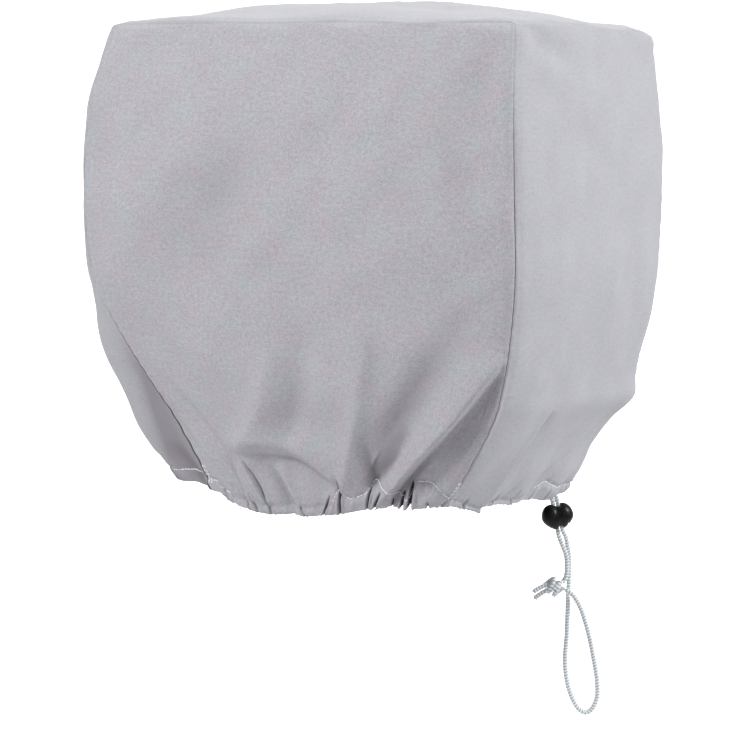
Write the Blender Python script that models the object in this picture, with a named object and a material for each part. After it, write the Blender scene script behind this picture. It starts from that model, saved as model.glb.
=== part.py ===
"""Outboard motor cover: a hollow cloth cover, its hem drawn in by a cord with a sprung ball lock.

Metres, +Z up. The origin is under the middle of the top, where the cover rests on the motor.
+X is the front, where the cord comes out, and the port side panel faces -Y.

The cover starts as a plain box with rounded edges. Each point of it is then hung: the wall tables
say how the box narrows, bows and sags, and the fold table adds troughs and ridges.
"""

import math
from collections import namedtuple

import bmesh
import bpy
import numpy as np
from mathutils import Matrix, Vector

# The box that is hung.
HALF_LENGTH = 0.206
HALF_WIDTH = 0.152
WALL_DROP = 0.430
EDGE_RADIUS = 0.012
CLOTH_THICKNESS = 0.002
SEAM_GAP = 0.0008

# Mesh fineness.
LENGTH_CELLS = 24
WIDTH_CELLS = 14
DROP_CELLS = 24
HEM_CELLS = 2

# The turned hem, thicker than the cloth because the cord runs in it.
HEM_HEIGHT = 0.014
HEM_PUFF = 0.001
HEM_DEPTH = 0.002

# The crown of the top, and how much of it is left at the front and rear folds.
CROWN_RISE = 0.0225
CROWN_END_SHARE = 0.08
CROWN_REACH = 0.12

# How low each corner hangs, in the order rear port, front port, front starboard, rear starboard.
TOP_SAG = (0.002, 0.000, 0.012, 0.006)
HEM_SAG = (0.002, 0.000, 0.020, 0.010)

# Where the walls stand at each depth under the top edge, and how far each bows out between its corners.
# The lean is how far the front wall's starboard end stands behind its port end.
Section = namedtuple(
    "Section", "depth rear front port starboard rear_bow front_bow port_bow starboard_bow lean"
)
SECTIONS = (
    Section(0.000, -0.206, 0.206, -0.152, 0.152, 0.006, 0.006, 0.002, 0.002, 0.000),
    Section(0.060, -0.222, 0.209, -0.161, 0.159, 0.013, 0.008, 0.008, 0.009, 0.000),
    Section(0.145, -0.229, 0.213, -0.167, 0.164, 0.024, 0.010, 0.014, 0.014, 0.000),
    Section(0.240, -0.217, 0.211, -0.162, 0.156, 0.054, 0.010, 0.020, 0.020, 0.002),
    Section(0.320, -0.166, 0.196, -0.154, 0.150, 0.095, 0.010, 0.024, 0.026, 0.004),
    Section(0.338, -0.153, 0.190, -0.151, 0.150, 0.097, 0.010, 0.024, 0.027, 0.001),
    Section(0.358, -0.139, 0.179, -0.146, 0.143, 0.098, 0.010, 0.024, 0.028, 0.011),
    Section(0.380, -0.126, 0.165, -0.142, 0.137, 0.098, 0.009, 0.024, 0.028, 0.014),
    Section(0.410, -0.112, 0.144, -0.134, 0.136, 0.095, 0.008, 0.022, 0.025, 0.005),
    Section(0.430, -0.105, 0.128, -0.129, 0.131, 0.090, 0.006, 0.020, 0.022, 0.001),
)
# Towards the hem the bows grow full, so that the mouth is round where the walls meet.
FULLNESS_AT_TOP = 2.0
FULLNESS_GAIN = 3.0

# Folds: a smooth line on a wall, from its first to its last point, as (along the wall, depth).
# The heights are at the line's start, middle and end: a ridge stands out, a trough is negative.
Fold = namedtuple("Fold", "wall start middle end before after line")
FOLDS = (
    Fold("port", 0.00, -0.006, -0.001, 0.024, 0.034, ((-0.023, 0.085), (-0.062, 0.151), (-0.126, 0.242))),
    Fold("port", 0.001, 0.005, 0.003, 0.026, 0.022, ((-0.072, 0.07), (-0.128, 0.155), (-0.196, 0.262))),
    Fold("port", -0.002, -0.004, -0.001, 0.018, 0.018, ((0.15, 0.03), (0.152, 0.09), (0.176, 0.165))),
    Fold("port", 0.001, 0.005, 0.006, 0.016, 0.016, ((-0.027, 0.285), (-0.056, 0.33), (-0.117, 0.386))),
    Fold("port", 0.001, 0.005, 0.005, 0.018, 0.014, ((0.072, 0.262), (0.058, 0.332), (0.043, 0.400))),
    Fold("port", -0.001, -0.005, -0.003, 0.014, 0.014, ((0.006, 0.275), (-0.014, 0.33), (-0.036, 0.375))),
    Fold("port", -0.002, -0.009, -0.01, 0.02, 0.026, ((0.166, 0.255), (0.12, 0.325), (0.096, 0.395))),
    Fold("port", 0.001, 0.006, 0.003, 0.016, 0.014, ((0.190, 0.295), (0.156, 0.354), (0.112, 0.413))),
    Fold("port", -0.002, -0.006, -0.005, 0.014, 0.018, ((0.2, 0.33), (0.184, 0.376), (0.154, 0.42))),
    Fold("port", -0.001, -0.005, -0.005, 0.01, 0.01, ((-0.12, 0.402), (-0.05, 0.405), (0.02, 0.418))),
    Fold("port", -0.001, -0.004, -0.006, 0.007, 0.007, ((0.034, 0.396), (0.036, 0.413), (0.037, 0.43))),
    Fold("port", -0.001, -0.004, -0.006, 0.007, 0.007, ((0.089, 0.396), (0.089, 0.413), (0.089, 0.43))),
    Fold("port", -0.001, -0.004, -0.006, 0.007, 0.007, ((0.146, 0.392), (0.148, 0.411), (0.15, 0.43))),
    Fold("front", -0.002, -0.004, -0.002, 0.014, 0.02, ((-0.125, 0.02), (-0.1, 0.032), (-0.056, 0.046))),
    Fold("front", 0.001, 0.004, 0.003, 0.01, 0.008, ((-0.062, 0.345), (-0.09, 0.38), (-0.106, 0.425))),
    Fold("front", -0.001, -0.005, -0.004, 0.01, 0.01, ((-0.046, 0.352), (-0.074, 0.388), (-0.088, 0.43))),
    Fold("front", -0.001, -0.003, -0.001, 0.012, 0.012, ((0.078, 0.375), (0.045, 0.402), (0.01, 0.42))),
    Fold("starboard", 0.00, -0.006, -0.002, 0.03, 0.026, ((0.06, 0.06), (0.00, 0.14), (-0.07, 0.225))),
    Fold("starboard", 0.001, 0.005, 0.004, 0.022, 0.022, ((0.10, 0.11), (0.07, 0.19), (0.06, 0.28))),
    Fold("starboard", 0.001, 0.006, 0.005, 0.016, 0.014, ((-0.11, 0.27), (-0.09, 0.335), (-0.06, 0.40))),
    Fold("starboard", -0.002, -0.008, -0.008, 0.02, 0.018, ((-0.05, 0.27), (-0.03, 0.34), (-0.01, 0.41))),
    Fold("starboard", 0.001, 0.006, 0.004, 0.014, 0.012, ((0.02, 0.285), (0.04, 0.345), (0.04, 0.405))),
    Fold("starboard", -0.002, -0.007, -0.006, 0.014, 0.018, ((0.11, 0.29), (0.095, 0.35), (0.08, 0.42))),
    Fold("rear", -0.001, -0.006, -0.003, 0.026, 0.022, ((-0.03, 0.11), (0.01, 0.19), (0.06, 0.26))),
    Fold("rear", 0.001, 0.005, 0.006, 0.016, 0.016, ((-0.055, 0.28), (-0.045, 0.34), (-0.03, 0.40))),
    Fold("rear", -0.002, -0.007, -0.007, 0.016, 0.016, ((0.00, 0.29), (0.006, 0.35), (0.004, 0.415))),
    Fold("rear", 0.001, 0.006, 0.005, 0.014, 0.016, ((0.070, 0.285), (0.055, 0.345), (0.045, 0.400))),
    Fold("top", 0.00, -0.001, 0.00, 0.03, 0.03, ((-0.09, -0.06), (0.00, -0.01), (0.08, 0.05))),
)
FOLD_STEPS = 24
# Folds die out before they reach a seam or the top's edge.
SEAM_CALM = 0.020

# How far the hem hangs under its even line, along each wall from its rear or port end.
HemPoint = namedtuple("HemPoint", "place drop")
HEM_LINES = {
    "port": (
        HemPoint(-1.00, 0.000),
        HemPoint(-0.67, 0.010),
        HemPoint(-0.20, 0.014),
        HemPoint(0.20, 0.007),
        HemPoint(0.67, -0.004),
        HemPoint(1.00, -0.003),
    ),
    "front": (
        HemPoint(-1.00, -0.003),
        HemPoint(-0.43, 0.004),
        HemPoint(0.20, 0.002),
        HemPoint(1.00, 0.000),
    ),
    "starboard": (
        HemPoint(-1.00, 0.000),
        HemPoint(-0.40, 0.008),
        HemPoint(0.30, 0.010),
        HemPoint(1.00, 0.000),
    ),
    "rear": (
        HemPoint(-1.00, 0.000),
        HemPoint(0.00, 0.009),
        HemPoint(1.00, 0.000),
    ),
}
HEM_LINE_REACH = 0.090
# Gathers: whole waves along each wall, so that neighbouring walls meet at the seams.
GATHER_WAVES = {"port": 5, "front": 3, "starboard": 5, "rear": 4}
GATHER_HEIGHT = 0.0022
GATHER_REACH = 0.070

# The draw cord. Its two ends hang in one upright plane that is turned from +X towards +Y.
CORD_RADIUS = 0.002
CORD_POINT_SPACING = 0.008
CORD_EXIT = Vector((0.1310, 0.0865, -0.4640))
CORD_PLANE_TURN = math.radians(28)

# The cord lock, in its own axes: X is the press, Z runs up along the cord.
LOCK_ALONG = 0.0066
LOCK_DOWN = 0.0196
LOCK_TILT = math.radians(10)
LOBE_OFFSET = 0.0056
LOBE_RADII = (0.0096, 0.0110, 0.0122)
LOBE_TAPER = 0.28
WAIST_RADIUS = 0.0098
WAIST_END = 0.0058
RIM_START = 0.0038
RECESS_RADIUS = 0.0101
RECESS_FLOOR = 0.0093
STEM_RADIUS = 0.0054
STEM_END = -0.0086
STEM_ROOT = 0.0105
POCKET_RADIUS = 0.0058
POCKET_END = -0.0122
SLOT_HALF_LENGTH = 0.0046
SLOT_HALF_WIDTH = 0.0024
PRESS_TRAVEL = 0.003
STRAND_OFFSET = 0.0022

# The strands' routes under the hem, as (along the plane, up, behind the plane).
Route = namedtuple("Route", "along up behind")
LOCK_STRAIGHT = (0.0130, 0.0085, 0.0040, -0.0040, -0.0085, -0.0130)
SHORT_START = Route(0.0004, -0.0004, 0.0)
LONG_START = Route(0.0052, 0.0012, 0.0)
SHORT_BELOW = (
    Route(0.0085, -0.0398, -0.0008),
    Route(0.0118, -0.0485, -0.0006),
    Route(0.0150, -0.0572, 0.0000),
    Route(0.0158, -0.0654, 0.0000),
    Route(0.0158, -0.0725, 0.0000),
    Route(0.0146, -0.0787, 0.0000),
    Route(0.0112, -0.0840, 0.0000),
)
LONG_BELOW = (
    Route(0.0147, -0.0398, 0.0014),
    Route(0.0165, -0.0485, 0.0026),
    Route(0.0180, -0.0572, 0.0044),
    Route(0.0184, -0.0674, 0.0050),
    Route(0.0184, -0.0776, 0.0050),
    Route(0.0180, -0.0878, 0.0046),
    Route(0.0173, -0.0981, 0.0036),
    Route(0.0168, -0.1165, 0.0010),
    Route(0.0161, -0.1359, 0.0000),
    Route(0.0151, -0.1491, 0.0000),
    Route(0.0149, -0.1624, 0.0000),
    Route(0.0162, -0.1751, 0.0000),
    Route(0.0191, -0.1879, 0.0000),
    Route(0.0240, -0.1997, 0.0000),
    Route(0.0288, -0.2063, 0.0000),
    Route(0.0344, -0.2092, 0.0000),
    Route(0.0400, -0.2066, 0.0000),
    Route(0.0441, -0.1993, 0.0000),
    Route(0.0459, -0.1905, 0.0000),
    Route(0.0451, -0.1751, 0.0000),
    Route(0.0419, -0.1563, 0.0000),
    Route(0.0381, -0.1375, 0.0000),
    Route(0.0338, -0.1216, 0.0000),
    Route(0.0296, -0.1093, -0.0006),
    Route(0.0250, -0.1001, -0.0012),
    Route(0.0200, -0.0935, -0.0018),
    Route(0.0142, -0.0901, -0.0012),
)

# The knot: a tilted lump, with two flattened cord ends on its far side.
KNOT_ALONG = 0.0038
KNOT_DOWN = 0.0876
KNOT_RADII = (0.0100, 0.0050, 0.0066)
KNOT_TILT = math.radians(-32)
KNOT_LUMP_DEPTH = 0.10
TAIL_HALF_THICKNESS = 0.0009
TAIL_HALF_WIDTH = 0.0016
TAILS = (
    ((-0.0030, -0.0840), (-0.0172, -0.0886)),
    ((-0.0030, -0.0890), (-0.0165, -0.0966)),
)

Finish = namedtuple("Finish", "colour roughness metallic")
FINISHES = {
    "cover_cloth": Finish((0.50, 0.50, 0.53), 0.85, 0.0),
    "draw_cord": Finish((0.82, 0.84, 0.85), 0.75, 0.0),
    "lock_plastic": Finish((0.01, 0.01, 0.012), 0.25, 0.0),
}


def clear_scene():
    for thing in list(bpy.data.objects):
        bpy.data.objects.remove(thing)


def material(name):
    finish = FINISHES[name]
    made = bpy.data.materials.get(name) or bpy.data.materials.new(name)
    made.use_nodes = True
    shader = made.node_tree.nodes["Principled BSDF"]
    shader.inputs["Base Color"].default_value = (*finish.colour, 1.0)
    shader.inputs["Roughness"].default_value = finish.roughness
    shader.inputs["Metallic"].default_value = finish.metallic
    return made


def add_object(name, data, finish):
    data.materials.clear()
    data.materials.append(material(finish))
    made = bpy.data.objects.new(name, data)
    bpy.context.collection.objects.link(made)
    return made


def mesh_object(name, shape, finish, smooth=True):
    """Turns a bmesh into an object, with its faces pointing out."""
    bmesh.ops.recalc_face_normals(shape, faces=shape.faces)
    if shape.calc_volume(signed=True) < 0:
        bmesh.ops.reverse_faces(shape, faces=shape.faces)
    mesh = bpy.data.meshes.new(name)
    shape.to_mesh(mesh)
    shape.free()
    if smooth:
        mesh.shade_smooth()
        mesh.set_sharp_from_angle(angle=math.radians(40))
    return add_object(name, mesh, finish)


def read_smoothly(rows, column, at):
    """A column of a table, read along a smooth curve through its rows."""
    place = np.array([row[0] for row in rows])
    value = np.array([getattr(row, column) for row in rows])
    slope = np.gradient(value, place)
    row = np.clip(np.searchsorted(place, at) - 1, 0, len(place) - 2)
    span = place[row + 1] - place[row]
    share = np.clip((at - place[row]) / span, 0.0, 1.0)
    rest = 1.0 - share
    return (
        value[row] * (1 + 2 * share) * rest**2
        + value[row + 1] * share**2 * (3 - 2 * share)
        + span * slope[row] * share * rest**2
        - span * slope[row + 1] * share**2 * rest
    )


def ease(value):
    """0 below 0, 1 above 1, and smooth between."""
    held = np.clip(value, 0.0, 1.0)
    return held * held * (3.0 - 2.0 * held)


def round_edges(box):
    """Points on the plain box, moved onto its rounded edges."""
    low = np.array((EDGE_RADIUS - HALF_LENGTH, EDGE_RADIUS - HALF_WIDTH, -2 * WALL_DROP))
    high = np.array((HALF_LENGTH - EDGE_RADIUS, HALF_WIDTH - EDGE_RADIUS, -EDGE_RADIUS))
    core = np.clip(box, low, high)
    out = box - core
    out /= np.linalg.norm(out, axis=-1, keepdims=True)
    return core + out * EDGE_RADIUS


def hang(box):
    """Where points of the rounded box hang on the cover."""
    length_place = box[..., 0] / HALF_LENGTH
    width_place = box[..., 1] / HALF_WIDTH
    depth = np.clip(-box[..., 2], 0.0, WALL_DROP)
    wall = {name: read_smoothly(SECTIONS, name, depth) for name in Section._fields[1:]}
    ahead = (1 + length_place) / 2
    aside = (1 + width_place) / 2
    power = FULLNESS_AT_TOP + FULLNESS_GAIN * (depth / WALL_DROP) ** 2
    over_width = 1 - np.abs(width_place) ** power
    over_length = 1 - np.abs(length_place) ** power
    x = wall["rear"] * (1 - ahead) + (wall["front"] - wall["lean"] * aside) * ahead
    x = x + (ahead * wall["front_bow"] - (1 - ahead) * wall["rear_bow"]) * over_width
    y = wall["port"] * (1 - aside) + wall["starboard"] * aside
    y = y + (aside * wall["starboard_bow"] - (1 - aside) * wall["port_bow"]) * over_length
    crown = CROWN_END_SHARE + (1 - CROWN_END_SHARE) * (1 - length_place**2)
    rise = CROWN_RISE * crown * (1 - width_place**2) * np.clip(1 - depth / CROWN_REACH, 0, 1) ** 2
    corners = ((1 - ahead) * (1 - aside), ahead * (1 - aside), ahead * aside, (1 - ahead) * aside)
    share = depth / WALL_DROP
    sag = sum(
        part * (top + (hem - top) * share) for part, top, hem in zip(corners, TOP_SAG, HEM_SAG)
    )
    top_centre = CROWN_RISE - sum(TOP_SAG) / 4 - CLOTH_THICKNESS
    return np.stack([x, y, box[..., 2] + rise - sag - top_centre], axis=-1)


def smooth_line(points, steps):
    """Points along a smooth curve through the given ones."""
    points = np.array(points, float)
    count = len(points)
    slope = np.gradient(points, axis=0)
    at = np.linspace(0, count - 1, steps)
    row = np.minimum(at.astype(int), count - 2)
    share = (at - row)[:, None]
    rest = 1 - share
    return (
        points[row] * (1 + 2 * share) * rest**2
        + points[row + 1] * share**2 * (3 - 2 * share)
        + slope[row] * share * rest**2
        - slope[row + 1] * share**2 * rest
    )


def fold_height(fold, along, depth):
    """Height of one fold at points of its wall."""
    line = smooth_line(fold.line, FOLD_STEPS)
    start, step = line[:-1], np.diff(line, axis=0)
    place = np.stack([along, depth], axis=-1)[..., None, :]
    share = ((place - start) * step).sum(-1) / (step**2).sum(-1)
    share = np.clip(share, 0.0, 1.0)
    away = place - (start + step * share[..., None])
    distance = np.hypot(away[..., 0], away[..., 1])
    nearest = distance.argmin(axis=-1)[..., None]
    side = np.take_along_axis(step[:, 0] * away[..., 1] - step[:, 1] * away[..., 0], nearest, -1)
    travel = (nearest + np.take_along_axis(share, nearest, -1)) / len(step)
    distance = np.take_along_axis(distance, nearest, -1)[..., 0]
    travel = travel[..., 0]
    width = np.where(side[..., 0] > 0, fold.before, fold.after)
    height = (
        fold.start * (1 - travel) * (1 - 2 * travel)
        + fold.middle * 4 * travel * (1 - travel)
        + fold.end * travel * (2 * travel - 1)
    )
    return height * np.exp(-((distance / width) ** 2))


def relief(wall, along, depth, half):
    """How far the cloth stands out of its even surface, and how far the hem hangs down."""
    calm = ease((half - np.abs(along)) / SEAM_CALM)
    if wall == "top":
        calm = calm * ease((HALF_LENGTH - np.abs(depth)) / SEAM_CALM)
    else:
        calm = calm * ease(depth / SEAM_CALM)
    out = sum(fold_height(fold, along, depth) for fold in FOLDS if fold.wall == wall) * calm
    if wall == "top":
        return out, np.zeros_like(out)
    place = along / half
    near_hem = np.clip((depth - WALL_DROP + GATHER_REACH) / GATHER_REACH, 0, 1)
    out = out + GATHER_HEIGHT * near_hem**2 * np.sin(math.pi * GATHER_WAVES[wall] * (1 + place))
    out = out + HEM_PUFF * ease((depth - WALL_DROP + HEM_HEIGHT) / HEM_HEIGHT * 3)
    low = np.clip((depth - WALL_DROP + HEM_LINE_REACH) / HEM_LINE_REACH, 0, 1) ** 2
    return out, low * read_smoothly(HEM_LINES[wall], "drop", place)


def box_places(wall, along, depth):
    """Points of the plain box: along is across the piece, and depth is down a wall or fore and aft."""
    along, depth = np.broadcast_arrays(along, depth)
    if wall == "port":
        return np.stack([along, np.full_like(along, -HALF_WIDTH), -depth], axis=-1)
    if wall == "starboard":
        return np.stack([along, np.full_like(along, HALF_WIDTH), -depth], axis=-1)
    if wall == "front":
        return np.stack([np.full_like(along, HALF_LENGTH), along, -depth], axis=-1)
    if wall == "rear":
        return np.stack([np.full_like(along, -HALF_LENGTH), along, -depth], axis=-1)
    return np.stack([depth, along, np.zeros_like(along)], axis=-1)


OUTWARD = {"port": 1.0, "starboard": -1.0, "front": 1.0, "rear": -1.0, "top": 1.0}
NORMAL_STEP = 0.0004


def cloth_points(wall, along, depth, inward):
    """Points of the cloth: on its outer face where inward is 0, on its inner face where it is 1."""
    half = HALF_LENGTH if wall in ("port", "starboard") else HALF_WIDTH
    low_along, high_along = along - NORMAL_STEP, along + NORMAL_STEP
    low_along, high_along = np.maximum(low_along, -half), np.minimum(high_along, half)
    end = HALF_LENGTH if wall == "top" else WALL_DROP
    low_depth = np.maximum(depth - NORMAL_STEP, -end if wall == "top" else 0.0)
    high_depth = np.minimum(depth + NORMAL_STEP, end)

    def even(at_along, at_depth):
        return hang(round_edges(box_places(wall, at_along, at_depth)))

    across = even(high_along, depth) - even(low_along, depth)
    down = even(along, low_depth) - even(along, high_depth)
    normal = np.cross(across, down) * OUTWARD[wall]
    normal /= np.linalg.norm(normal, axis=-1, keepdims=True)
    out, low = relief(wall, along, depth, half)
    thickness = np.full_like(out, CLOTH_THICKNESS)
    if wall != "top":
        thickness = thickness + HEM_DEPTH * ease((depth - WALL_DROP + HEM_HEIGHT) / HEM_HEIGHT * 3)
    points = even(along, depth) + normal * (out - thickness * inward)[..., None]
    points[..., 2] -= low
    return points


def cell_places(half, cells, gap=0.0):
    """Grid lines from edge to edge, with one line where each rounded edge starts."""
    inner = np.linspace(EDGE_RADIUS - half, half - EDGE_RADIUS, cells - 1)
    return np.concatenate([[gap - half], inner, [half - gap]])


def drop_places():
    """Grid lines down a wall, ending with those of the hem."""
    wall = np.linspace(EDGE_RADIUS, WALL_DROP - HEM_HEIGHT, DROP_CELLS - HEM_CELLS)
    hem = np.linspace(WALL_DROP - HEM_HEIGHT, WALL_DROP, HEM_CELLS + 1)
    return np.concatenate([[0.0], wall, hem[1:]])


def cloth_grid(columns, rows):
    """A flat grid and its underside, as one closed body whose corners count columns, rows and layers."""
    shape = bmesh.new()
    bmesh.ops.create_grid(shape, x_segments=columns, y_segments=rows, size=0.5)
    for vertex in shape.verts:
        vertex.co.x = round((vertex.co.x + 0.5) * columns)
        vertex.co.y = round((vertex.co.y + 0.5) * rows)
    made = bmesh.ops.extrude_face_region(shape, geom=shape.faces[:], use_keep_orig=True)
    under = [item for item in made["geom"] if isinstance(item, bmesh.types.BMVert)]
    bmesh.ops.translate(shape, verts=under, vec=(0.0, 0.0, 1.0))
    return shape


def stretch_at(depth, low, high, half):
    """How wide the cover is at a depth, as a share of the box."""
    wide = read_smoothly(SECTIONS, high, depth) - read_smoothly(SECTIONS, low, depth)
    return wide / (2 * half)


def move_vertices(shape, points):
    for vertex, point in zip(shape.verts, points):
        vertex.co = point


def side_panel(name, wall):
    shape = cloth_grid(LENGTH_CELLS, DROP_CELLS)
    counts = np.array([vertex.co for vertex in shape.verts])
    columns, rows = np.rint(counts[:, :2]).astype(int).T
    inward = counts[:, 2]
    depth = np.maximum(drop_places()[rows], SEAM_GAP / 2)
    along = cell_places(HALF_LENGTH, LENGTH_CELLS)[columns]
    limit = HALF_LENGTH - SEAM_GAP / 2 / stretch_at(depth, "rear", "front", HALF_LENGTH)
    along = np.clip(along, -limit, limit)
    move_vertices(shape, cloth_points(wall, along, depth, inward))
    return mesh_object(name, shape, "cover_cloth")


def centre_strip():
    """Front wall, top and rear wall in one length of cloth."""
    rows_in_all = 2 * DROP_CELLS + LENGTH_CELLS
    shape = cloth_grid(WIDTH_CELLS, rows_in_all)
    counts = np.array([vertex.co for vertex in shape.verts])
    columns, rows = np.rint(counts[:, :2]).astype(int).T
    inward = counts[:, 2]
    along = cell_places(HALF_WIDTH, WIDTH_CELLS)[columns]
    drops, fore_and_aft = drop_places(), cell_places(HALF_LENGTH, LENGTH_CELLS)
    points = np.zeros((len(counts), 3))
    stretches = (
        ("front", rows <= DROP_CELLS, drops[np.clip(DROP_CELLS - rows, 0, DROP_CELLS)]),
        (
            "top",
            (rows > DROP_CELLS) & (rows < DROP_CELLS + LENGTH_CELLS),
            fore_and_aft[np.clip(DROP_CELLS + LENGTH_CELLS - rows, 0, LENGTH_CELLS)],
        ),
        (
            "rear",
            rows >= DROP_CELLS + LENGTH_CELLS,
            drops[np.clip(rows - DROP_CELLS - LENGTH_CELLS, 0, DROP_CELLS)],
        ),
    )
    for wall, here, depth in stretches:
        depth_here = depth[here]
        level = np.zeros_like(depth_here) if wall == "top" else depth_here
        limit = HALF_WIDTH - SEAM_GAP / 2 / stretch_at(level, "port", "starboard", HALF_WIDTH)
        placed = np.clip(along[here], -limit, limit)
        points[here] = cloth_points(wall, placed, depth_here, inward[here])
    move_vertices(shape, points)
    return mesh_object("centre_strip", shape, "cover_cloth")


def in_cord_plane(along, up, behind=0.0):
    """A point of the upright plane in which the cord hangs, under its exit."""
    turn = Matrix.Rotation(CORD_PLANE_TURN, 3, "Z")
    return CORD_EXIT + turn @ Vector((along, behind, up))


def lock_frame():
    """The lock's own axes, as a matrix."""
    turn = Matrix.Rotation(CORD_PLANE_TURN, 4, "Z") @ Matrix.Rotation(-LOCK_TILT, 4, "Y")
    return Matrix.Translation(in_cord_plane(LOCK_ALONG, -LOCK_DOWN)) @ turn


def evenly(points, spacing):
    """The curve through the points, as a polyline whose points are about that far apart."""
    fine = smooth_line(points, 40 * len(points))
    run = np.concatenate([[0.0], np.cumsum(np.linalg.norm(np.diff(fine, axis=0), axis=1))])
    count = max(2, int(round(run[-1] / spacing)) + 1)
    at = np.linspace(0.0, run[-1], count)
    return np.stack([np.interp(at, run, fine[:, axis]) for axis in range(3)], axis=-1)


def strand(name, start, side, below):
    """One cord end: from the hem, straight through the lock, then along its route."""
    frame = lock_frame()
    through = [frame @ Vector((side * STRAND_OFFSET, 0.0, up)) for up in LOCK_STRAIGHT]
    route = [in_cord_plane(*start)] + through + [in_cord_plane(*point) for point in below]
    points = evenly([tuple(point) for point in route], CORD_POINT_SPACING)
    curve = bpy.data.curves.new(name, "CURVE")
    curve.dimensions = "3D"
    curve.bevel_depth = CORD_RADIUS
    curve.bevel_resolution = 2
    curve.use_fill_caps = True
    spline = curve.splines.new("POLY")
    spline.points.add(len(points) - 1)
    for place, point in zip(spline.points, points):
        place.co = (*point, 1.0)
    return add_object(name, curve, "draw_cord")


def lobe(side):
    """One half of the ball: an egg that narrows towards its lower end."""
    shape = bmesh.new()
    bmesh.ops.create_uvsphere(shape, u_segments=28, v_segments=16, radius=1.0)
    for vertex in shape.verts:
        x, y, z = (value * radius for value, radius in zip(vertex.co, LOBE_RADII))
        narrow = 1 - LOBE_TAPER * max(0.0, -z / LOBE_RADII[2]) ** 2
        vertex.co = ((x + side * LOBE_OFFSET) * narrow, y, z)
    return shape


def rod(start, end, radius, segments=32):
    """A round bar along X."""
    shape = bmesh.new()
    bmesh.ops.create_cone(
        shape, cap_ends=True, segments=segments, radius1=radius, radius2=radius, depth=end - start
    )
    place = Matrix.Translation(((start + end) / 2, 0.0, 0.0)) @ Matrix.Rotation(math.radians(90), 4, "Y")
    bmesh.ops.transform(shape, matrix=place, verts=shape.verts)
    return shape


def block(low, high):
    shape = bmesh.new()
    bmesh.ops.create_cube(shape, size=1.0)
    size = Vector(high) - Vector(low)
    place = Matrix.Translation((Vector(high) + Vector(low)) / 2) @ Matrix.Diagonal((*size, 1.0))
    bmesh.ops.transform(shape, matrix=place, verts=shape.verts)
    return shape


def combined(base, steps, name):
    """Joins and cuts solids in order, and gives the result as a bmesh."""
    body = mesh_object(name, base, "lock_plastic", smooth=False)
    tools = []
    for number, (operation, tool) in enumerate(steps):
        other = mesh_object(f"{name}_tool_{number}", tool, "lock_plastic", smooth=False)
        tools.append(other)
        modifier = body.modifiers.new(operation, "BOOLEAN")
        modifier.operation = operation
        modifier.object = other
    bpy.context.view_layer.update()
    evaluated = body.evaluated_get(bpy.context.evaluated_depsgraph_get())
    shape = bmesh.new()
    shape.from_mesh(evaluated.to_mesh())
    evaluated.to_mesh_clear()
    for thing in [body] + tools:
        bpy.data.objects.remove(thing)
    return shape


def cord_slot(end):
    reach = 2 * LOBE_RADII[2]
    return block((-SLOT_HALF_LENGTH, -SLOT_HALF_WIDTH, -reach), (end, SLOT_HALF_WIDTH, reach))


def lock_body():
    """The fixed half: a lobe with a waist, a blind pocket for the stem and a slot for the cord."""
    big = 3 * LOBE_RADII[2]
    shape = combined(
        lobe(-1),
        (
            ("DIFFERENCE", block((0.0, -big, -big), (big, big, big))),
            ("UNION", rod(-LOBE_OFFSET, WAIST_END, WAIST_RADIUS)),
            ("DIFFERENCE", rod(POCKET_END, big, POCKET_RADIUS)),
            ("DIFFERENCE", cord_slot(SLOT_HALF_LENGTH)),
        ),
        "lock_body",
    )
    bmesh.ops.transform(shape, matrix=lock_frame(), verts=shape.verts)
    return mesh_object("lock_body", shape, "lock_plastic")


def lock_button():
    """The half that is squeezed: a cap over the waist, and a stem with a slot for the cord."""
    big = 3 * LOBE_RADII[2]
    cord_room = SLOT_HALF_LENGTH + PRESS_TRAVEL
    shape = combined(
        lobe(1),
        (
            ("DIFFERENCE", block((-big, -big, -big), (RIM_START, big, big))),
            ("DIFFERENCE", rod(-big, RECESS_FLOOR, RECESS_RADIUS)),
            ("DIFFERENCE", cord_slot(cord_room)),
            ("UNION", rod(STEM_END, STEM_ROOT, STEM_RADIUS)),
            ("DIFFERENCE", cord_slot(cord_room)),
        ),
        "lock_button",
    )
    bmesh.ops.transform(shape, matrix=lock_frame(), verts=shape.verts)
    return mesh_object("lock_button", shape, "lock_plastic")


def tail(start, end):
    """A flattened cord end, as a bar in the cord's plane."""
    start, end = Vector((start[0], 0.0, start[1])), Vector((end[0], 0.0, end[1]))
    run = end - start
    shape = block(
        (0.0, -TAIL_HALF_THICKNESS, -TAIL_HALF_WIDTH), (run.length, TAIL_HALF_THICKNESS, TAIL_HALF_WIDTH)
    )
    turn = Matrix.Rotation(-math.atan2(run.z, run.x), 4, "Y")
    bmesh.ops.transform(shape, matrix=Matrix.Translation(start) @ turn, verts=shape.verts)
    return shape


def cord_knot():
    shape = bmesh.new()
    bmesh.ops.create_uvsphere(shape, u_segments=24, v_segments=14, radius=1.0)
    for vertex in shape.verts:
        x, y, z = vertex.co
        lump = 1 - KNOT_LUMP_DEPTH * (1 - math.cos(6 * math.atan2(z, y) + 4 * x)) / 2 * (1 - abs(x))
        vertex.co = [value * radius * lump for value, radius in zip((x, y, z), KNOT_RADII)]
    place = Matrix.Translation((KNOT_ALONG, 0.0, -KNOT_DOWN)) @ Matrix.Rotation(-KNOT_TILT, 4, "Y")
    bmesh.ops.transform(shape, matrix=place, verts=shape.verts)
    shape = combined(shape, [("UNION", tail(*ends)) for ends in TAILS], "cord_knot")
    hung = Matrix.Translation(CORD_EXIT) @ Matrix.Rotation(CORD_PLANE_TURN, 4, "Z")
    bmesh.ops.transform(shape, matrix=hung, verts=shape.verts)
    return mesh_object("cord_knot", shape, "draw_cord")


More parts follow.
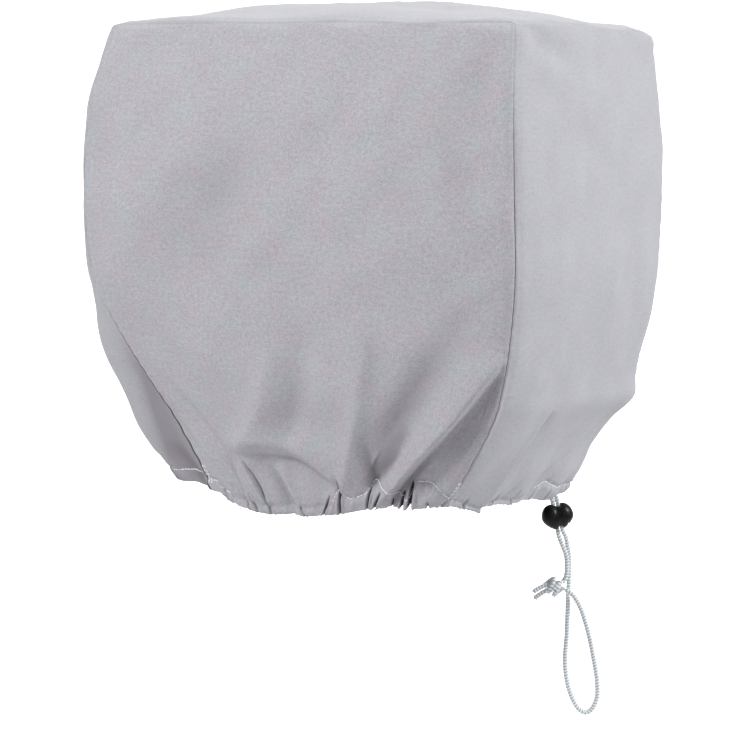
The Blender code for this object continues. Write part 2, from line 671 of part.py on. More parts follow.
def main():
    clear_scene()
    side_panel("side_panel_port", "port")
    side_panel("side_panel_starboard", "starboard")
    centre_strip()
    strand("drawcord_short", SHORT_START, -1, SHORT_BELOW)
    strand("drawcord_long", LONG_START, 1, LONG_BELOW)
    lock_body()
    lock_button()
    cord_knot()


main()
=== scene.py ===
"""Looks of the outboard motor cover: its cloth, stitching, draw cord, knot and ball lock.

Metres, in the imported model's frame: the origin is under the middle of the top, +X is the front,
where the cord comes out, and the port side panel faces -Y. The tables that are divided by MM where
they are read hold millimetres.
"""

import math
from collections import namedtuple

import bmesh
import bpy
import numpy as np
from mathutils import Matrix, Vector


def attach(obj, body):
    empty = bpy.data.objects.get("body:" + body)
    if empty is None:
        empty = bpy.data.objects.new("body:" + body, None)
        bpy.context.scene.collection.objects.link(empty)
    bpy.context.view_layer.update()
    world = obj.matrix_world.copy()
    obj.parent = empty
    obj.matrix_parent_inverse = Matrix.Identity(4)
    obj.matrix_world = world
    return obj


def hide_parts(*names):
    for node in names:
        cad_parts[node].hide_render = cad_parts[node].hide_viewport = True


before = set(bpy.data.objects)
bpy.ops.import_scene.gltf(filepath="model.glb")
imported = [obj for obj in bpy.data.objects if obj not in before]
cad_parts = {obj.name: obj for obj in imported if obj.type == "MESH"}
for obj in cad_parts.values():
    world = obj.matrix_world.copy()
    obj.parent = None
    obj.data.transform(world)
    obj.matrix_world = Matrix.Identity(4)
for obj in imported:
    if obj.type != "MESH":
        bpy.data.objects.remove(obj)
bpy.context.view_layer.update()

# Millimetres in a metre.
MM = 1000

# The camera, and the room around the cover.
CAMERA_PLACE = (1.3023, -2.4708, -0.0190)
CAMERA_TURN = (math.radians(83.3), 0.0, math.radians(28.0))
CAMERA_LENS = 144.0
CAMERA_SENSOR = 36.0
CAMERA_REACH = 50.0
FLOOR_LEVEL = -2.0
ROOM_RADIUS = 16.0
ROOM_BEND = 4.0
ROOM_HEIGHT = 10.0
ROOM_BEND_STEPS = 12
ROOM_STEPS = 64
FLOOR_GLOW = 0.03
WORLD_LIGHT = 0.46

# Soft boxes, each facing its aim. The last lights the wall behind the cover.
Lamp = namedtuple("Lamp", "name place size power aim")
LAMPS = (
    Lamp("key_light", (-0.780, -2.310, 1.560), 1.0, 58.0, (0.0, 0.0, -0.20)),
    Lamp("side_light", (2.848, 0.763, 1.865), 1.2, 106.0, (0.0, 0.0, -0.20)),
    Lamp("wall_light", (-5.0, 9.0, 2.8), 4.0, 720.0, (-5.0, 9.0, -2.0)),
)

# The box from which the cover hangs.
HALF_LENGTH = 0.206
HALF_WIDTH = 0.152
WALL_DROP = 0.430
EDGE_RADIUS = 0.012
CLOTH_THICKNESS = 0.0012
CAD_THICKNESS = 0.002
SEAM_GAP = 0.0002
CROWN_RISE = 0.0225
CROWN_LOSS = 0.0020
CROWN_END_SHARE = 0.08
CROWN_REACH = 0.12
SIDES = ("port", "starboard")
TURNED_WALLS = ("starboard", "rear")

# The fall of the corners, rear port first and then forward and round, at the top and at the hem.
TOP_SAG = (0.002, 0.000, 0.012, 0.006)
HEM_SAG = (0.002, 0.000, 0.020, 0.010)

# The walls at each depth, in millimetres: their places, how far they bow out in the middle, and how
# far the front falls back towards starboard.
Section = namedtuple(
    "Section", "depth rear front port starboard rear_bow front_bow port_bow starboard_bow lean"
)
SECTIONS = Section(*np.transpose((
    (0, -206, 206, -152, 152, 6, 6, 2, 2, 0),
    (60, -222, 209, -161, 159, 13, 8, 8, 9, 0),
    (145, -229, 213, -167, 164, 24, 10, 14, 14, 0),
    (240, -217, 211, -162, 156, 54, 10, 20, 20, 2),
    (320, -166, 196, -154, 150, 95, 10, 24, 26, 4),
    (338, -153, 190, -151, 150, 97, 10, 24, 27, 1),
    (358, -139, 179, -146, 143, 98, 10, 24, 28, 11),
    (380, -126, 165, -142, 137, 98, 9, 24, 28, 14),
    (410, -112, 144, -134, 136, 95, 8, 22, 25, 5),
    (430, -105, 128, -129, 131, 90, 6, 20, 22, 1),
)) / MM)
FULLNESS_AT_TOP = 2.0
FULLNESS_GAIN = 3.0

# Creases of each wall, in millimetres: the heights out of the wall at the start, middle and end, the
# widths on the left and on the right of the run, the sharpness, and the line, as (along the wall,
# depth). The top's lines are (across, fore and aft). A sharpness of 2 gives a soft swell, and one
# near 1 a creased crest.
CREASES = {
    "port": (
        # Above: long soft swells from the corners of the motor.
        (0, -6.2, -1.6, 24, 36, 2, ((-20, 80), (-43, 115), (-62, 151), (-90, 194), (-126, 242))),
        (0.6, 4.8, 3, 26, 22, 2, ((-72, 68), (-103, 116), (-134, 162), (-196, 256))),
        (0, -3, -1, 16, 14, 2, ((-198, 70), (-192, 105), (-176, 140))),
        (0, -0.8, 0, 4, 6, 1.4, ((-186, 163), (-172, 152), (-156, 144))),
        (0, -3.2, -1, 18, 14, 2, ((184, 12), (176, 52), (166, 92))),
        (0, -3.4, -1.2, 14, 16, 2, ((128, 80), (155, 124), (178, 168))),
        (0, 2, 0, 10, 12, 2, ((104, 100), (134, 142), (158, 190))),
        (0, -1.2, 0, 6, 8, 1.6, ((-120, 14), (-40, 20), (30, 16))),
        # Below: swells and pits where the cloth is drawn in.
        (0.8, 7.4, 7.6, 14, 17, 1.7, ((-24, 280), (-40, 308), (-62, 340), (-110, 380))),
        (0.8, 6.6, 6.6, 16, 12, 1.7, ((74, 256), (66, 300), (54, 346), (42, 398))),
        (-0.6, -4.8, -3, 12, 14, 2, ((10, 268), (-4, 304), (-24, 346), (-44, 376))),
        (-1.5, -9, -8.5, 18, 26, 2, ((172, 250), (138, 298), (110, 338), (88, 372))),
        (0, -7.2, -5.6, 5, 10, 1.5, ((60, 362), (70, 388), (83, 411))),
        (0, -6.4, -5.6, 10, 6, 1.5, ((117, 378), (102, 393), (85, 406))),
        (1, 9, 6, 18, 4, 1.4, ((201, 290), (181, 321), (153, 362), (115, 413))),
        (-2, -10.5, -8, 4.6, 12, 1.6, ((204, 303), (189, 329), (162, 370), (125, 420))),
        (-2, -7, -6, 14, 16, 2.6, ((203, 310), (193, 340), (180, 370), (164, 404))),
        (0, -6.2, -3, 12, 3.2, 1.4, (
            (-136, 392), (-107, 384), (-68, 385), (-25, 391), (4, 402), (29, 410),
        )),
        (0, 4.6, 1.4, 5, 10, 1.6, ((-150, 384), (-107, 374), (-66, 373), (-22, 380), (10, 392))),
        (1, 4, 3, 9, 2, 1.4, ((-119, 387), (-112, 402), (-103, 411), (-88, 420))),
        (0.4, 3, 2.8, 6, 2, 1.4, ((-136, 398), (-124, 411), (-114, 425))),
        (0, -3.4, -2.4, 4, 3, 1.6, ((-150, 388), (-140, 404), (-130, 420))),
        (0, -5.8, -4, 6, 4.5, 1.7, ((-80, 393), (-66, 411), (-50, 427))),
        (0, 3, 2, 5, 6, 1.7, ((-64, 390), (-50, 408), (-34, 424))),
        (0, -4.4, -6, 6, 4, 1.6, ((20, 398), (28, 406), (32, 414))),
        (0, -3.4, -4, 10, 10, 1.6, ((-190, 318), (-170, 352), (-140, 392))),
        (0, 3, 2, 8, 10, 1.7, ((-198, 352), (-180, 384), (-158, 412))),
    ),
    "front": (
        (0, -3.8, -1.6, 10, 18, 1.7, ((-146, 4), (-104, 18), (-52, 32))),
        (0, -3, -3, 2, 2.4, 1.5, ((132, 16), (142, 20), (151, 26))),
        (0, 1.8, 0.6, 12, 10, 2, ((-140, 34), (-98, 44), (-50, 52))),
        (0.4, 5.6, 4.6, 11, 2.2, 1.4, ((-56, 340), (-71, 368), (-82, 390), (-100, 428))),
        (0, -7.8, -6.4, 2.6, 11, 1.5, ((-51, 342), (-66, 370), (-77, 392), (-95, 430))),
        (0, -2.6, -1, 7, 10, 1.6, ((82, 372), (44, 400), (12, 418))),
        (0, 2.4, 1, 10, 8, 1.8, ((96, 350), (56, 384), (18, 404))),
        (0, -1.6, 0, 4, 6, 1.4, ((-86, 312), (-98, 322), (-112, 330))),
        (0, -2, -0.8, 12, 12, 2, ((120, 270), (96, 312), (50, 350))),
        (0, 2.2, 1, 14, 14, 2, ((130, 300), (116, 350), (92, 400))),
        (0, -1.4, 0, 14, 14, 2, ((-60, 80), (0, 120), (70, 140))),
    ),
    "starboard": (
        (0, -6, -2, 30, 26, 2, ((60, 60), (0, 140), (-70, 225))),
        (0.6, 5, 4, 22, 22, 2, ((100, 110), (70, 190), (60, 280))),
        (0, -3, 0, 16, 16, 2, ((-180, 50), (-160, 120), (-120, 190))),
        (0.6, 6.2, 5, 14, 10, 1.6, ((-116, 262), (-92, 335), (-60, 402))),
        (-1, -8, -8, 18, 14, 1.8, ((-56, 262), (-30, 340), (-10, 412))),
        (0.6, 6.2, 4.5, 12, 9, 1.6, ((16, 280), (38, 345), (40, 408))),
        (-1, -7, -6, 12, 18, 1.7, ((116, 280), (95, 350), (78, 420))),
        (0, 4, 4, 6, 14, 1.5, ((176, 312), (152, 362), (122, 412))),
        (0, -5, -4, 12, 6, 1.6, ((-170, 310), (-150, 360), (-112, 410))),
    ),
    "rear": (
        (0, -6, -3, 26, 22, 2, ((-40, 100), (10, 190), (60, 265))),
        (0.6, 5.2, 5.5, 14, 12, 1.7, ((-60, 272), (-46, 340), (-30, 402))),
        (-1, -7.2, -7, 14, 14, 1.8, ((0, 282), (6, 350), (4, 418))),
        (0.6, 6, 4.8, 12, 10, 1.6, ((74, 276), (55, 345), (43, 404))),
        (0, -4, -11, 50, 50, 2, ((-88, 402), (-88, 417), (-88, 432))),
        (-1.6, -9, -11, 12, 13, 1.8, ((-144, 286), (-140, 330), (-137, 370), (-134, 424))),
        (0, 3.2, 3, 10, 10, 1.8, ((-110, 330), (-100, 370), (-86, 410))),
    ),
    "top": (
        (0, -1.2, 0, 30, 30, 2, ((-90, -60), (0, -10), (80, 50))),
        (0, -1, 0, 6, 8, 1.6, ((-110, -150), (-40, -100), (10, -30))),
        (0, -1.2, 0, 7, 8, 1.6, ((-120, 130), (-60, 90), (-10, 20))),
    ),
}

# Painted shade alone, in the same form: more of it where folds keep the light off the cloth, less where
# they throw it back.
SHADES = {
    "port": (
        (5, 12.5, 5, 20, 32, 2.4, ((200, 316), (191, 345), (180, 375), (170, 404))),
        (0, -7.5, -6, 10, 10, 2, ((118, 355), (104, 376), (92, 394))),
        (-6, -8, -6, 4, 4, 1.8, ((160, 412), (169, 419), (175, 427))),
        (0, -6, -5, 6, 8, 1.8, ((-204, 300), (-201, 345), (-196, 385))),
    ),
    "rear": (
        (0, -6, -8.5, 45, 45, 2, ((-105, 330), (-100, 385), (-100, 430))),
        (-4, -9.4, -10.4, 14, 16, 2, ((-149, 296), (-146, 350), (-143, 400), (-140, 428))),
        (0, -8, -11, 4.5, 5, 2, ((-150, 350), (-149, 380), (-148, 405), (-147, 426))),
    ),
}
CREASE_STEPS = 26
CREASE_REACH = 3.2
RELIEF_SCALE = 0.008
DEEPEST_SHADE = 0.0116
SEAM_CALM = 0.007

# Slight unevenness of all the cloth: waves of several lengths in every direction.
RIPPLE_COUNT = 26
RIPPLE_LENGTHS = (0.026, 0.150)
RIPPLE_HEIGHT = 0.0032
RIPPLE_SEED = 11

# The hem's fall under its even line: (place as a share of the half wall, fall in millimetres), from
# the rear or port end of each wall.
HEM_LINES = {
    "port": ((-1, 0), (-0.67, 10), (-0.2, 14), (0.2, 9), (0.55, 1), (0.8, 1), (1, -1)),
    "front": ((-1, -1), (-0.43, 4), (0.2, 2.5), (0.57, 5), (0.84, 2), (1, 0)),
    "starboard": ((-1, 0), (-0.4, 8), (0.3, 10), (1, 0)),
    "rear": ((-1, 0), (0, 9), (1, 0)),
}
HEM_LINE_REACH = 0.090

# The hem's stitching, in millimetres: (place, height above the edge). It steps where a tuck has
# drawn up the cloth.
HEM_STITCHES = {
    "port": (
        (-206, 12), (-176, 9), (-150, 5.5), (-60, 5.5), (20, 7), (26, 18), (30, 19), (52, 12), (76, 15),
        (79, 23), (98, 21), (110, 18), (133, 10), (146, 8), (149, 24), (174, 22), (192, 14), (206, 7),
    ),
    "front": ((-152, 6), (-124, 3.5), (20, 3.5), (36, 11), (50, 16), (98, 10), (152, 6)),
    "starboard": ((-206, 10), (-150, 18), (-146, 13), (-60, 17), (10, 12), (14, 19), (90, 14), (206, 7)),
    "rear": ((-152, 10), (-60, 17), (-56, 12), (40, 18), (152, 10)),
}
HEM_TOP = 0.026
HEM_PUFF = 0.0018
HEM_DEPTH = 0.0024
HEM_LIP = 0.0022
LIP_FALL = 0.9
LIP_THINNING = 0.6
HEM_DOUBLING = 3
STITCH_GROOVE = 0.0012
STITCH_GROOVE_WIDTH = 0.0022

# Gathers above the hem, in millimetres: place, depth, width, height, and how far the top is shifted
# for each unit of height. First the soft swells and valleys, then the tucks, which are narrow.
Gather = namedtuple("Gather", "place depth width height lean")
GATHERS = {
    "port": (
        (-196, 2.6, 4, 30, 0.1), (-150, -2.4, 5, 24, -0.9), (-134, 3, 3.4, 40, -1), (-96, -2.6, 5, 28, -1),
        (-70, -2.6, 6, 30, -1.2), (-40, 3, 4, 34, -1), (-10, -2.4, 6, 22, -0.4), (20, -2.8, 4, 22, 0.2),
        (58, -2.6, 7, 22, -0.2), (111, -3.2, 7, 24, -0.5), (171, -2.6, 6, 26, -0.2),
        (-166, 6, 1.8, 20, -1.2), (-122, 3.4, 1.3, 12, -1.5), (-107, 4.2, 1.4, 17, -1.27),
        (-83, 4.4, 1.6, 45, -0.84), (-23, 3.6, 1.3, 9, -1.7), (7, 4.2, 1.4, 16, 0.5),
        (38.5, 6.8, 1.8, 30, -0.35), (85, 4.2, 1.6, 24, -0.3), (97.5, 7, 1.8, 18, 0.2),
        (126, 3.2, 1.2, 9, -0.5), (143, 7, 1.8, 15, -0.57), (155, 9, 2.2, 24, -0.57),
        (183, 3.6, 1.3, 9, -0.9), (197, 3, 1.3, 10, 0.3),
    ),
    "front": (
        (-75, -2, 6, 22, 0.4), (-40, 2.6, 4, 30, 0.5), (4, -2, 6, 20, 0.45), (46, 3, 4, 28, 0.3),
        (84, -2, 5, 20, 0), (112, 2.6, 4, 24, 0.2), (-128, 3, 1.4, 10, 0.4), (-98, 3.4, 1.5, 26, 0.5),
        (-60, 3.2, 1.4, 12, 0.4), (-18, 3.4, 1.4, 14, 0.45), (30, 3, 1.4, 10, 0.5), (66, 3.4, 1.5, 14, 0.1),
        (132, 3.4, 1.5, 14, 0.2),
    ),
}

# Gathers left to chance on the other walls: their count, and their depths, widths and heights.
# Every third soft one stands out instead, by a share of its depth.
HIDDEN_GATHERS = {"starboard": 26, "rear": 17}
HIDDEN_SHIFT = 0.3
HIDDEN_SWELL = -0.7
HIDDEN_LEAN = 0.4
HIDDEN_LEAN_OUT = 0.5
HIDDEN_TUCK = ((0.0030, 0.0075), (0.0014, 0.0020), (0.010, 0.026))
HIDDEN_FOLD = ((0.0024, 0.0042), (0.0036, 0.0060), (0.020, 0.044))
GATHER_SEED = 5
GATHER_SPREAD = 1.3
GATHER_SHARPNESS = 1.5
GATHER_SHADE = 1.5
GATHER_FADE = 1.6
GATHER_EDGE = 0.006
GATHER_AT_EDGE = 0.3
TUCK_WIDTH = 0.0025
TUCK_FADE = 3
TUCK_LIP = 0.38
TUCK_LIP_PLACE = 2.3
TUCK_SHADE = 6.0
TUCK_CALM = (0.050, 0.045)

# Small puckers at the hem's stitching and at the seams. A wave is its length, drift and drift's turn.
PUCKER_HEIGHT = 0.0005
PUCKER_WAVE = (0.0068, 4, 63.0)
PUCKER_REACH = 0.007
SEAM_PUCKER = 0.00035
SEAM_PUCKER_WAVE = (0.0125, 3, 41.0)
SEAM_PUCKER_REACH = 0.007

# The cloth's edge at a seam, turned in, and a thin line of painted shade along the seam, weaker near the
# top.
SEAM_ROLL = 0.0016
SEAM_ROLL_DEPTH = 0.0011
SEAM_ROLL_AT_TOP = 0.25
SEAM_RIDGE = 0.0005
SEAM_RIDGE_PLACE = 0.0032
SEAM_RIDGE_WIDTH = 0.0014
SEAM_SHADE = 0.014
SEAM_SHADE_WIDTH = 0.0009
SEAM_TOP = (0.010, 0.120)

# Grid lines of the cloth: the spacings across a piece and down a wall's stretches, whose ends are
# the breaks, and the lines beside an edge and beside a tuck.
PORT_SPACINGS = (0.0024, (0.0050, 0.0030, 0.0019, 0.0012))
STARBOARD_SPACINGS = (0.0030, (0.0056, 0.0036, 0.0024, 0.0014))
STRIP_SPACING = 0.0030
FRONT_SPACINGS = (0.0065, 0.0034, 0.0024, 0.0013)
TOP_SPACING = 0.0120
REAR_SPACINGS = (0.0090, 0.0050, 0.0032, 0.0018)
LIP_SPACING = 0.0004
ACROSS_BREAK = 0.100
DROP_BREAKS = (0.250, WALL_DROP - 0.060, WALL_DROP - HEM_TOP, WALL_DROP - HEM_LIP - 0.0006, WALL_DROP)
EDGE_LINES = np.array((0.0, 0.0004, 0.0009, 0.0016, 0.0024, 0.0032, 0.0042, 0.0054))
TUCK_LINES = (-0.0042, -0.0030, -0.0020, -0.0012, -0.0006, 0.0, 0.0006, 0.0012, 0.0020, 0.0030, 0.0042)
TUCK_CLEARANCE = 0.0009
LEAST_SPACING = 0.0003
LEAST_LEANING_SPACING = 0.0002
NORMAL_STEP = 0.0004

# Sewing thread. A run is its wall, start and end, as shares of the half wall.
STITCH_LENGTH = 0.0037
STITCH_PITCH = 0.0038
THREAD_RADIUS = 0.00066
THREAD_RISE = 0.7
THREAD_FLATNESS = 0.8
HEM_STITCH_STEPS = 700
SEAM_STITCH_STEPS = 200
SEAM_STITCH_OFFSETS = (0.0026, 0.0048)
SEAM_STITCH_TOP = 0.404
SEAM_STITCH_END = 0.421
STITCH_RUNS = (
    ("port", -0.985, -0.80), ("port", 0.105, 0.985), ("starboard", -0.985, 0.985),
    ("rear", -0.98, 0.98), ("front", -0.98, -0.83), ("front", 0.22, 0.98),
)

# The draw cord. Its routes are (along, up, behind) in the plane in which it hangs, in millimetres:
# first its start under the hem, then its way from under the lock to the knot.
CORD_RADIUS = 0.0022
CORD_EXIT = Vector((0.1310, 0.0865, -0.4640))
CORD_PLANE_TURN = math.radians(28)
CORD_STEP = 0.00042
CORD_SIDES = 40
BRAID_WALES = 4
BRAID_PITCH = 0.00285
BRAID_LEAN = 0.35
BRAID_RELIEF = 0.20
BRAID_MIDDLE = 0.6
BRAID_FULLNESS = 0.8
TUBE_END_SHARE = 0.12
LOCK_PINCH = 0.15
LOCK_PINCH_REACH = 0.0120
LOCK_PINCH_FADE = 0.0040
LOCK_STRAIGHT = (0.0130, 0.0085, 0.0040, -0.0040, -0.0085, -0.0130)
STRAND_OFFSET = 0.0022
SHORT_ROUTE = (
    (0.4, -0.4, 0),
    (8.5, -39.8, -0.8), (11.8, -48.5, -0.6), (15, -57.2, 0), (15.8, -65.4, 0), (15.8, -72.5, 0),
    (14.6, -78.7, 0), (11.2, -84, 0),
)
LONG_ROUTE = (
    (5.2, 1.2, 0),
    (14.7, -39.8, 1.4), (16.5, -48.5, 2.6), (18, -57.2, 4.4), (18.4, -67.4, 5), (18.4, -77.6, 5),
    (18, -87.8, 4.6), (17.3, -98.1, 3.6), (16.8, -116.5, 1), (16.1, -135.9, 0), (15.1, -149.1, 0),
    (14.9, -162.4, 0), (16.2, -175.1, 0), (19.1, -187.9, 0), (24, -199.7, 0), (28.8, -206.3, 0),
    (34.4, -209.2, 0), (40, -206.6, 0), (44.1, -199.3, 0), (45.9, -190.5, 0), (45.1, -175.1, 0),
    (41.9, -156.3, 0), (38.1, -137.5, 0), (33.8, -121.6, 0), (29.6, -109.3, -0.6), (25, -100.1, -1.2),
    (20, -93.5, -1.8), (14.2, -90.1, -1.2),
)

# The knot, round an axis that is tilted in the cord's plane. Its tucked strand and its two frayed
# tails are routes too.
KNOT_CENTRE = (0.0038, -0.0876)
KNOT_TILT = math.radians(-40)
KNOT_HALF_LENGTH = 0.0086
KNOT_TURNS = 2.6
KNOT_STEPS = 260
KNOT_RING = (0.0044, 0.0066)
KNOT_BULGE = 0.35
KNOT_CORD_RADIUS = 0.0022
KNOT_TUCK = (
    (12.2, -82.2, 0.6), (8.8, -83.4, -3.6), (4, -87.2, -5), (-0.6, -91.4, -3.4), (-1.8, -92.6, 0),
)
KNOT_TUCK_RADIUS = 0.0018
TAILS = (
    ((0.4, -85.2), (-5.8, -86.6), (-11.2, -89.2), (-16, -92.4)),
    ((-0.4, -89.6), (-5.6, -92.2), (-10.4, -95.2), (-15, -98.6)),
)
TAIL_RADII = (0.0014, 0.0022)
FRAY_YARNS = 14
FRAY_STEPS = 7
FRAY_SIDES = 6
FRAY_LENGTH = 0.0030
FRAY_LENGTH_SHARES = (0.6, 1.2)
FRAY_ROOT = 0.0012
FRAY_SPREAD = 0.34
FRAY_OFFSET = 0.0009
FRAY_BEND = 0.12
FRAY_RADIUS = 0.00022
FRAY_SEED = 3

# The cord lock, in its own axes: X is the press, Z runs up along the cord.
LOCK_ALONG = 0.0066
LOCK_DOWN = 0.0196
LOCK_TILT = math.radians(10)
LOBE_OFFSET = 0.0056
LOBE_RADII = (0.0096, 0.0110, 0.0122)
LOBE_TAPER = 0.42
LOBE_SEGMENTS = 72
LOBE_RINGS = 44
RIM_START = 0.0038
SLOT_HALF_LENGTH = 0.0046
SLOT_HALF_WIDTH = 0.0024
PRESS_TRAVEL = 0.003
SHARP_EDGE = math.radians(38)
LOCK_SPAN = 3 * LOBE_RADII[2]

# Round bars along the press: start, end and radius.
WAIST = (-LOBE_OFFSET, 0.0058, 0.0098)
POCKET = (-0.0122, LOCK_SPAN, 0.0058)
RECESS = (-LOCK_SPAN, 0.0093, 0.0101)
STEM = (-0.0086, 0.0105, 0.0054)


# ---------------------------------------------------------------- shader tools


class Tone:
    """A number that changes over a surface. Sums with it add Math nodes."""

    def __init__(self, finish, socket):
        self.finish = finish
        self.socket = socket

    def sum(self, operation, first, second=0.0):
        return self.finish.add("ShaderNodeMath", {"operation": operation}, {0: first, 1: second})

    def __add__(self, other):
        return self.sum("ADD", self, other)

    def __sub__(self, other):
        return self.sum("SUBTRACT", self, other)

    def __rsub__(self, other):
        return self.sum("SUBTRACT", other, self)

    def __mul__(self, other):
        return self.sum("MULTIPLY", self, other)

    def __pow__(self, other):
        return self.sum("POWER", self, other)

    __radd__ = __add__
    __rmul__ = __mul__

    def sine(self):
        return self.sum("SINE", self)

    def held(self):
        """Kept between 0 and 1."""
        return self.sum("MINIMUM", self.sum("MAXIMUM", self, 0.0), 1.0)


class Finish:
    """A material whose nodes are added one by one."""

    def __init__(self, name, **constants):
        self.material = bpy.data.materials.new(name)
        self.material.use_nodes = True
        self.nodes = self.material.node_tree.nodes
        self.links = self.material.node_tree.links
        self.shader = self.nodes["Principled BSDF"]
        for socket, value in constants.items():
            self.shader.inputs[socket.replace("_", " ")].default_value = value

    def add(self, kind, settings=None, values=None, output=0):
        node = self.nodes.new(kind)
        for setting, value in (settings or {}).items():
            setattr(node, setting, value)
        for socket, value in (values or {}).items():
            self.give(node.inputs[socket], value)
        return Tone(self, node.outputs[output])

    def give(self, socket, value):
        if isinstance(value, Tone):
            self.links.new(value.socket, socket)
        else:
            socket.default_value = value

    def feed(self, socket, value):
        """Feeds one of the surface's own sockets."""
        self.give(self.shader.inputs[socket], value)

    def attribute(self, name):
        return self.add("ShaderNodeAttribute", {"attribute_name": name}, output="Fac")

    def cloth_place(self):
        return self.add("ShaderNodeUVMap", {"uv_map": "cut"})

    def object_place(self):
        return self.add("ShaderNodeTexCoord", output="Object")

    def noise(self, place, scale, detail=2.0, roughness=0.5, stretch=(1.0, 1.0, 1.0)):
        placed = self.add("ShaderNodeMapping", {}, {"Vector": place, "Scale": stretch})
        values = {"Vector": placed, "Scale": scale, "Detail": detail, "Roughness": roughness}
        return self.add("ShaderNodeTexNoise", {"noise_dimensions": "3D"}, values)

    def mixed(self, share, first, second):
        """A colour between two others."""
        values = {0: share, 6: first, 7: second}
        return self.add("ShaderNodeMix", {"data_type": "RGBA"}, values, output=2)

    def roughen(self, height, distance, strength):
        """Feeds the surface's normal with a bump."""
        values = {"Height": height, "Distance": distance, "Strength": strength}
        self.feed("Normal", self.add("ShaderNodeBump", {}, values))


def colour(red, green, blue):
    """A colour given as seen on a screen, from 0 to 255, as the shader wants it."""
    def straight(value):
        share = value / 255
        return share / 12.92 if share <= 0.04045 else ((share + 0.055) / 1.055) ** 2.4

    return (straight(red), straight(green), straight(blue), 1.0)


CLOTH_LIGHT = (colour(193, 183, 191), colour(182, 193, 196))
CLOTH_DARK = (colour(166, 151, 160), colour(155, 161, 164))
# Painted shade: the cloth's colours in the troughs and slits of its folds.
CLOTH_TROUGH_SHADE = colour(134, 128, 135)
CLOTH_SLIT_SHADE = colour(52, 49, 54)
THREAD = (colour(222, 221, 225), colour(242, 242, 245))
CORD_CROWN = (colour(236, 240, 241), colour(248, 250, 250))
# Painted shade: the braid's colour in its grooves.
CORD_GROOVE_SHADE = colour(146, 159, 165)
LOCK_BLACK = (colour(7, 8, 9), colour(14, 15, 17))
WEAVE_PITCH = 0.0007


def cloth_finish(name, tint_middle, tint_reach, grain):
    """Woven polyester: two tints of yarn and a mottled grain, with painted shade that darkens the troughs
    and slits of its folds.
    """
    finish = Finish(name, Metallic=0.0, Sheen_Weight=0.12, Sheen_Roughness=0.5)
    place = finish.cloth_place()
    blotch = finish.noise(place, 26.0, detail=3.0, roughness=0.62)
    mottle = finish.noise(place, 270.0, detail=3.0, roughness=0.75)
    speck = finish.noise(place, 700.0, detail=2.0, roughness=0.7)
    slub = finish.noise(place, 300.0, detail=2.0, stretch=(0.25, 1.6, 1.0))
    fold_shade = finish.attribute("relief")
    tint = finish.noise(place, 42.0, detail=3.0, roughness=0.7)
    tint = ((tint - 0.5) * tint_reach + tint_middle).held()
    cloudy = (blotch - 0.5) * 0.35 + (mottle - 0.5) * 0.7 * grain
    share = (cloudy + (speck - 0.5) * grain + (slub - 0.5) * 0.4 + 0.5).held()
    base = finish.mixed(share, finish.mixed(tint, *CLOTH_DARK), finish.mixed(tint, *CLOTH_LIGHT))
    # Painted shade: the deeper the fold, the darker the cloth, down to near black in the slits.
    trough_shade = (fold_shade * -0.62).held() ** 2.0
    slit_shade = (fold_shade * -0.9 - 1.4).held()
    finish.feed("Base Color", finish.mixed(slit_shade, finish.mixed(trough_shade, base, CLOTH_TROUGH_SHADE), CLOTH_SLIT_SHADE))
    finish.feed("Roughness", 0.80 + (slub - 0.5) * 0.16)
    across, down = (finish.add("ShaderNodeSeparateXYZ", {}, {0: place}, output=axis) for axis in (0, 1))
    turn = 2 * math.pi / WEAVE_PITCH
    weave = (across * turn).sine() * (down * turn).sine()
    finish.roughen(weave * 0.25 + slub * 0.9 + speck * 0.6, 0.00018, 0.8)
    return finish.material


def thread_finish():
    finish = Finish("sewing_thread", Metallic=0.0, Sheen_Weight=0.1)
    fibre = finish.noise(finish.object_place(), 2400.0, detail=2.0)
    finish.feed("Base Color", finish.mixed(fibre, *THREAD))
    finish.feed("Roughness", 0.55 + fibre * 0.2)
    finish.roughen(fibre, 0.0001, 0.5)
    return finish.material


def cord_finish():
    finish = Finish("cord_braid", Metallic=0.0, Sheen_Weight=0.15)
    yarn = finish.attribute("relief")
    fibre = finish.noise(finish.object_place(), 1800.0, detail=2.0)
    worn = finish.noise(finish.object_place(), 90.0, detail=2.0)
    # Painted shade: the braid darkens towards the bottom of its grooves.
    groove_shade = ((1 - yarn) * 1.3 - 0.1).held()
    finish.feed("Base Color", finish.mixed(groove_shade, finish.mixed(worn, *CORD_CROWN), CORD_GROOVE_SHADE))
    finish.feed("Roughness", 0.62 + fibre * 0.2)
    finish.roughen(fibre, 0.00012, 0.6)
    return finish.material


def lock_finish():
    finish = Finish(
        "lock_plastic_gloss", Metallic=0.0, Specular_IOR_Level=0.22, Coat_Weight=0.04, Coat_Roughness=0.20
    )
    mould = finish.noise(finish.object_place(), 700.0, detail=3.0)
    scuff = finish.noise(finish.object_place(), 180.0, detail=4.0, roughness=0.7)
    finish.feed("Base Color", finish.mixed(scuff, *LOCK_BLACK))
    finish.feed("Roughness", 0.30 + scuff * 0.14)
    finish.roughen(mould, 0.00006, 0.5)
    return finish.material


def floor_finish():
    finish = Finish("pale_floor", Metallic=0.0, Roughness=0.9, Emission_Strength=FLOOR_GLOW)
    finish.feed("Base Color", colour(236, 236, 238))
    finish.feed("Emission Color", colour(255, 255, 255))
    return finish.material


# ---------------------------------------------------------------- mesh and number tools


def put(name, data):
    """A new object in the scene."""
    made = bpy.data.objects.new(name, data)
    bpy.context.collection.objects.link(made)
    return made


def add_piece(name, mesh, finish, body, slot, *nodes):
    """Puts a finished mesh in the scene as a piece that rides on a body and stands for some nodes."""
    mesh.materials.clear()
    mesh.materials.append(finish)
    piece = put(name, mesh)
    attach(piece, body)
    if nodes:
        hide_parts(*nodes)
    return piece


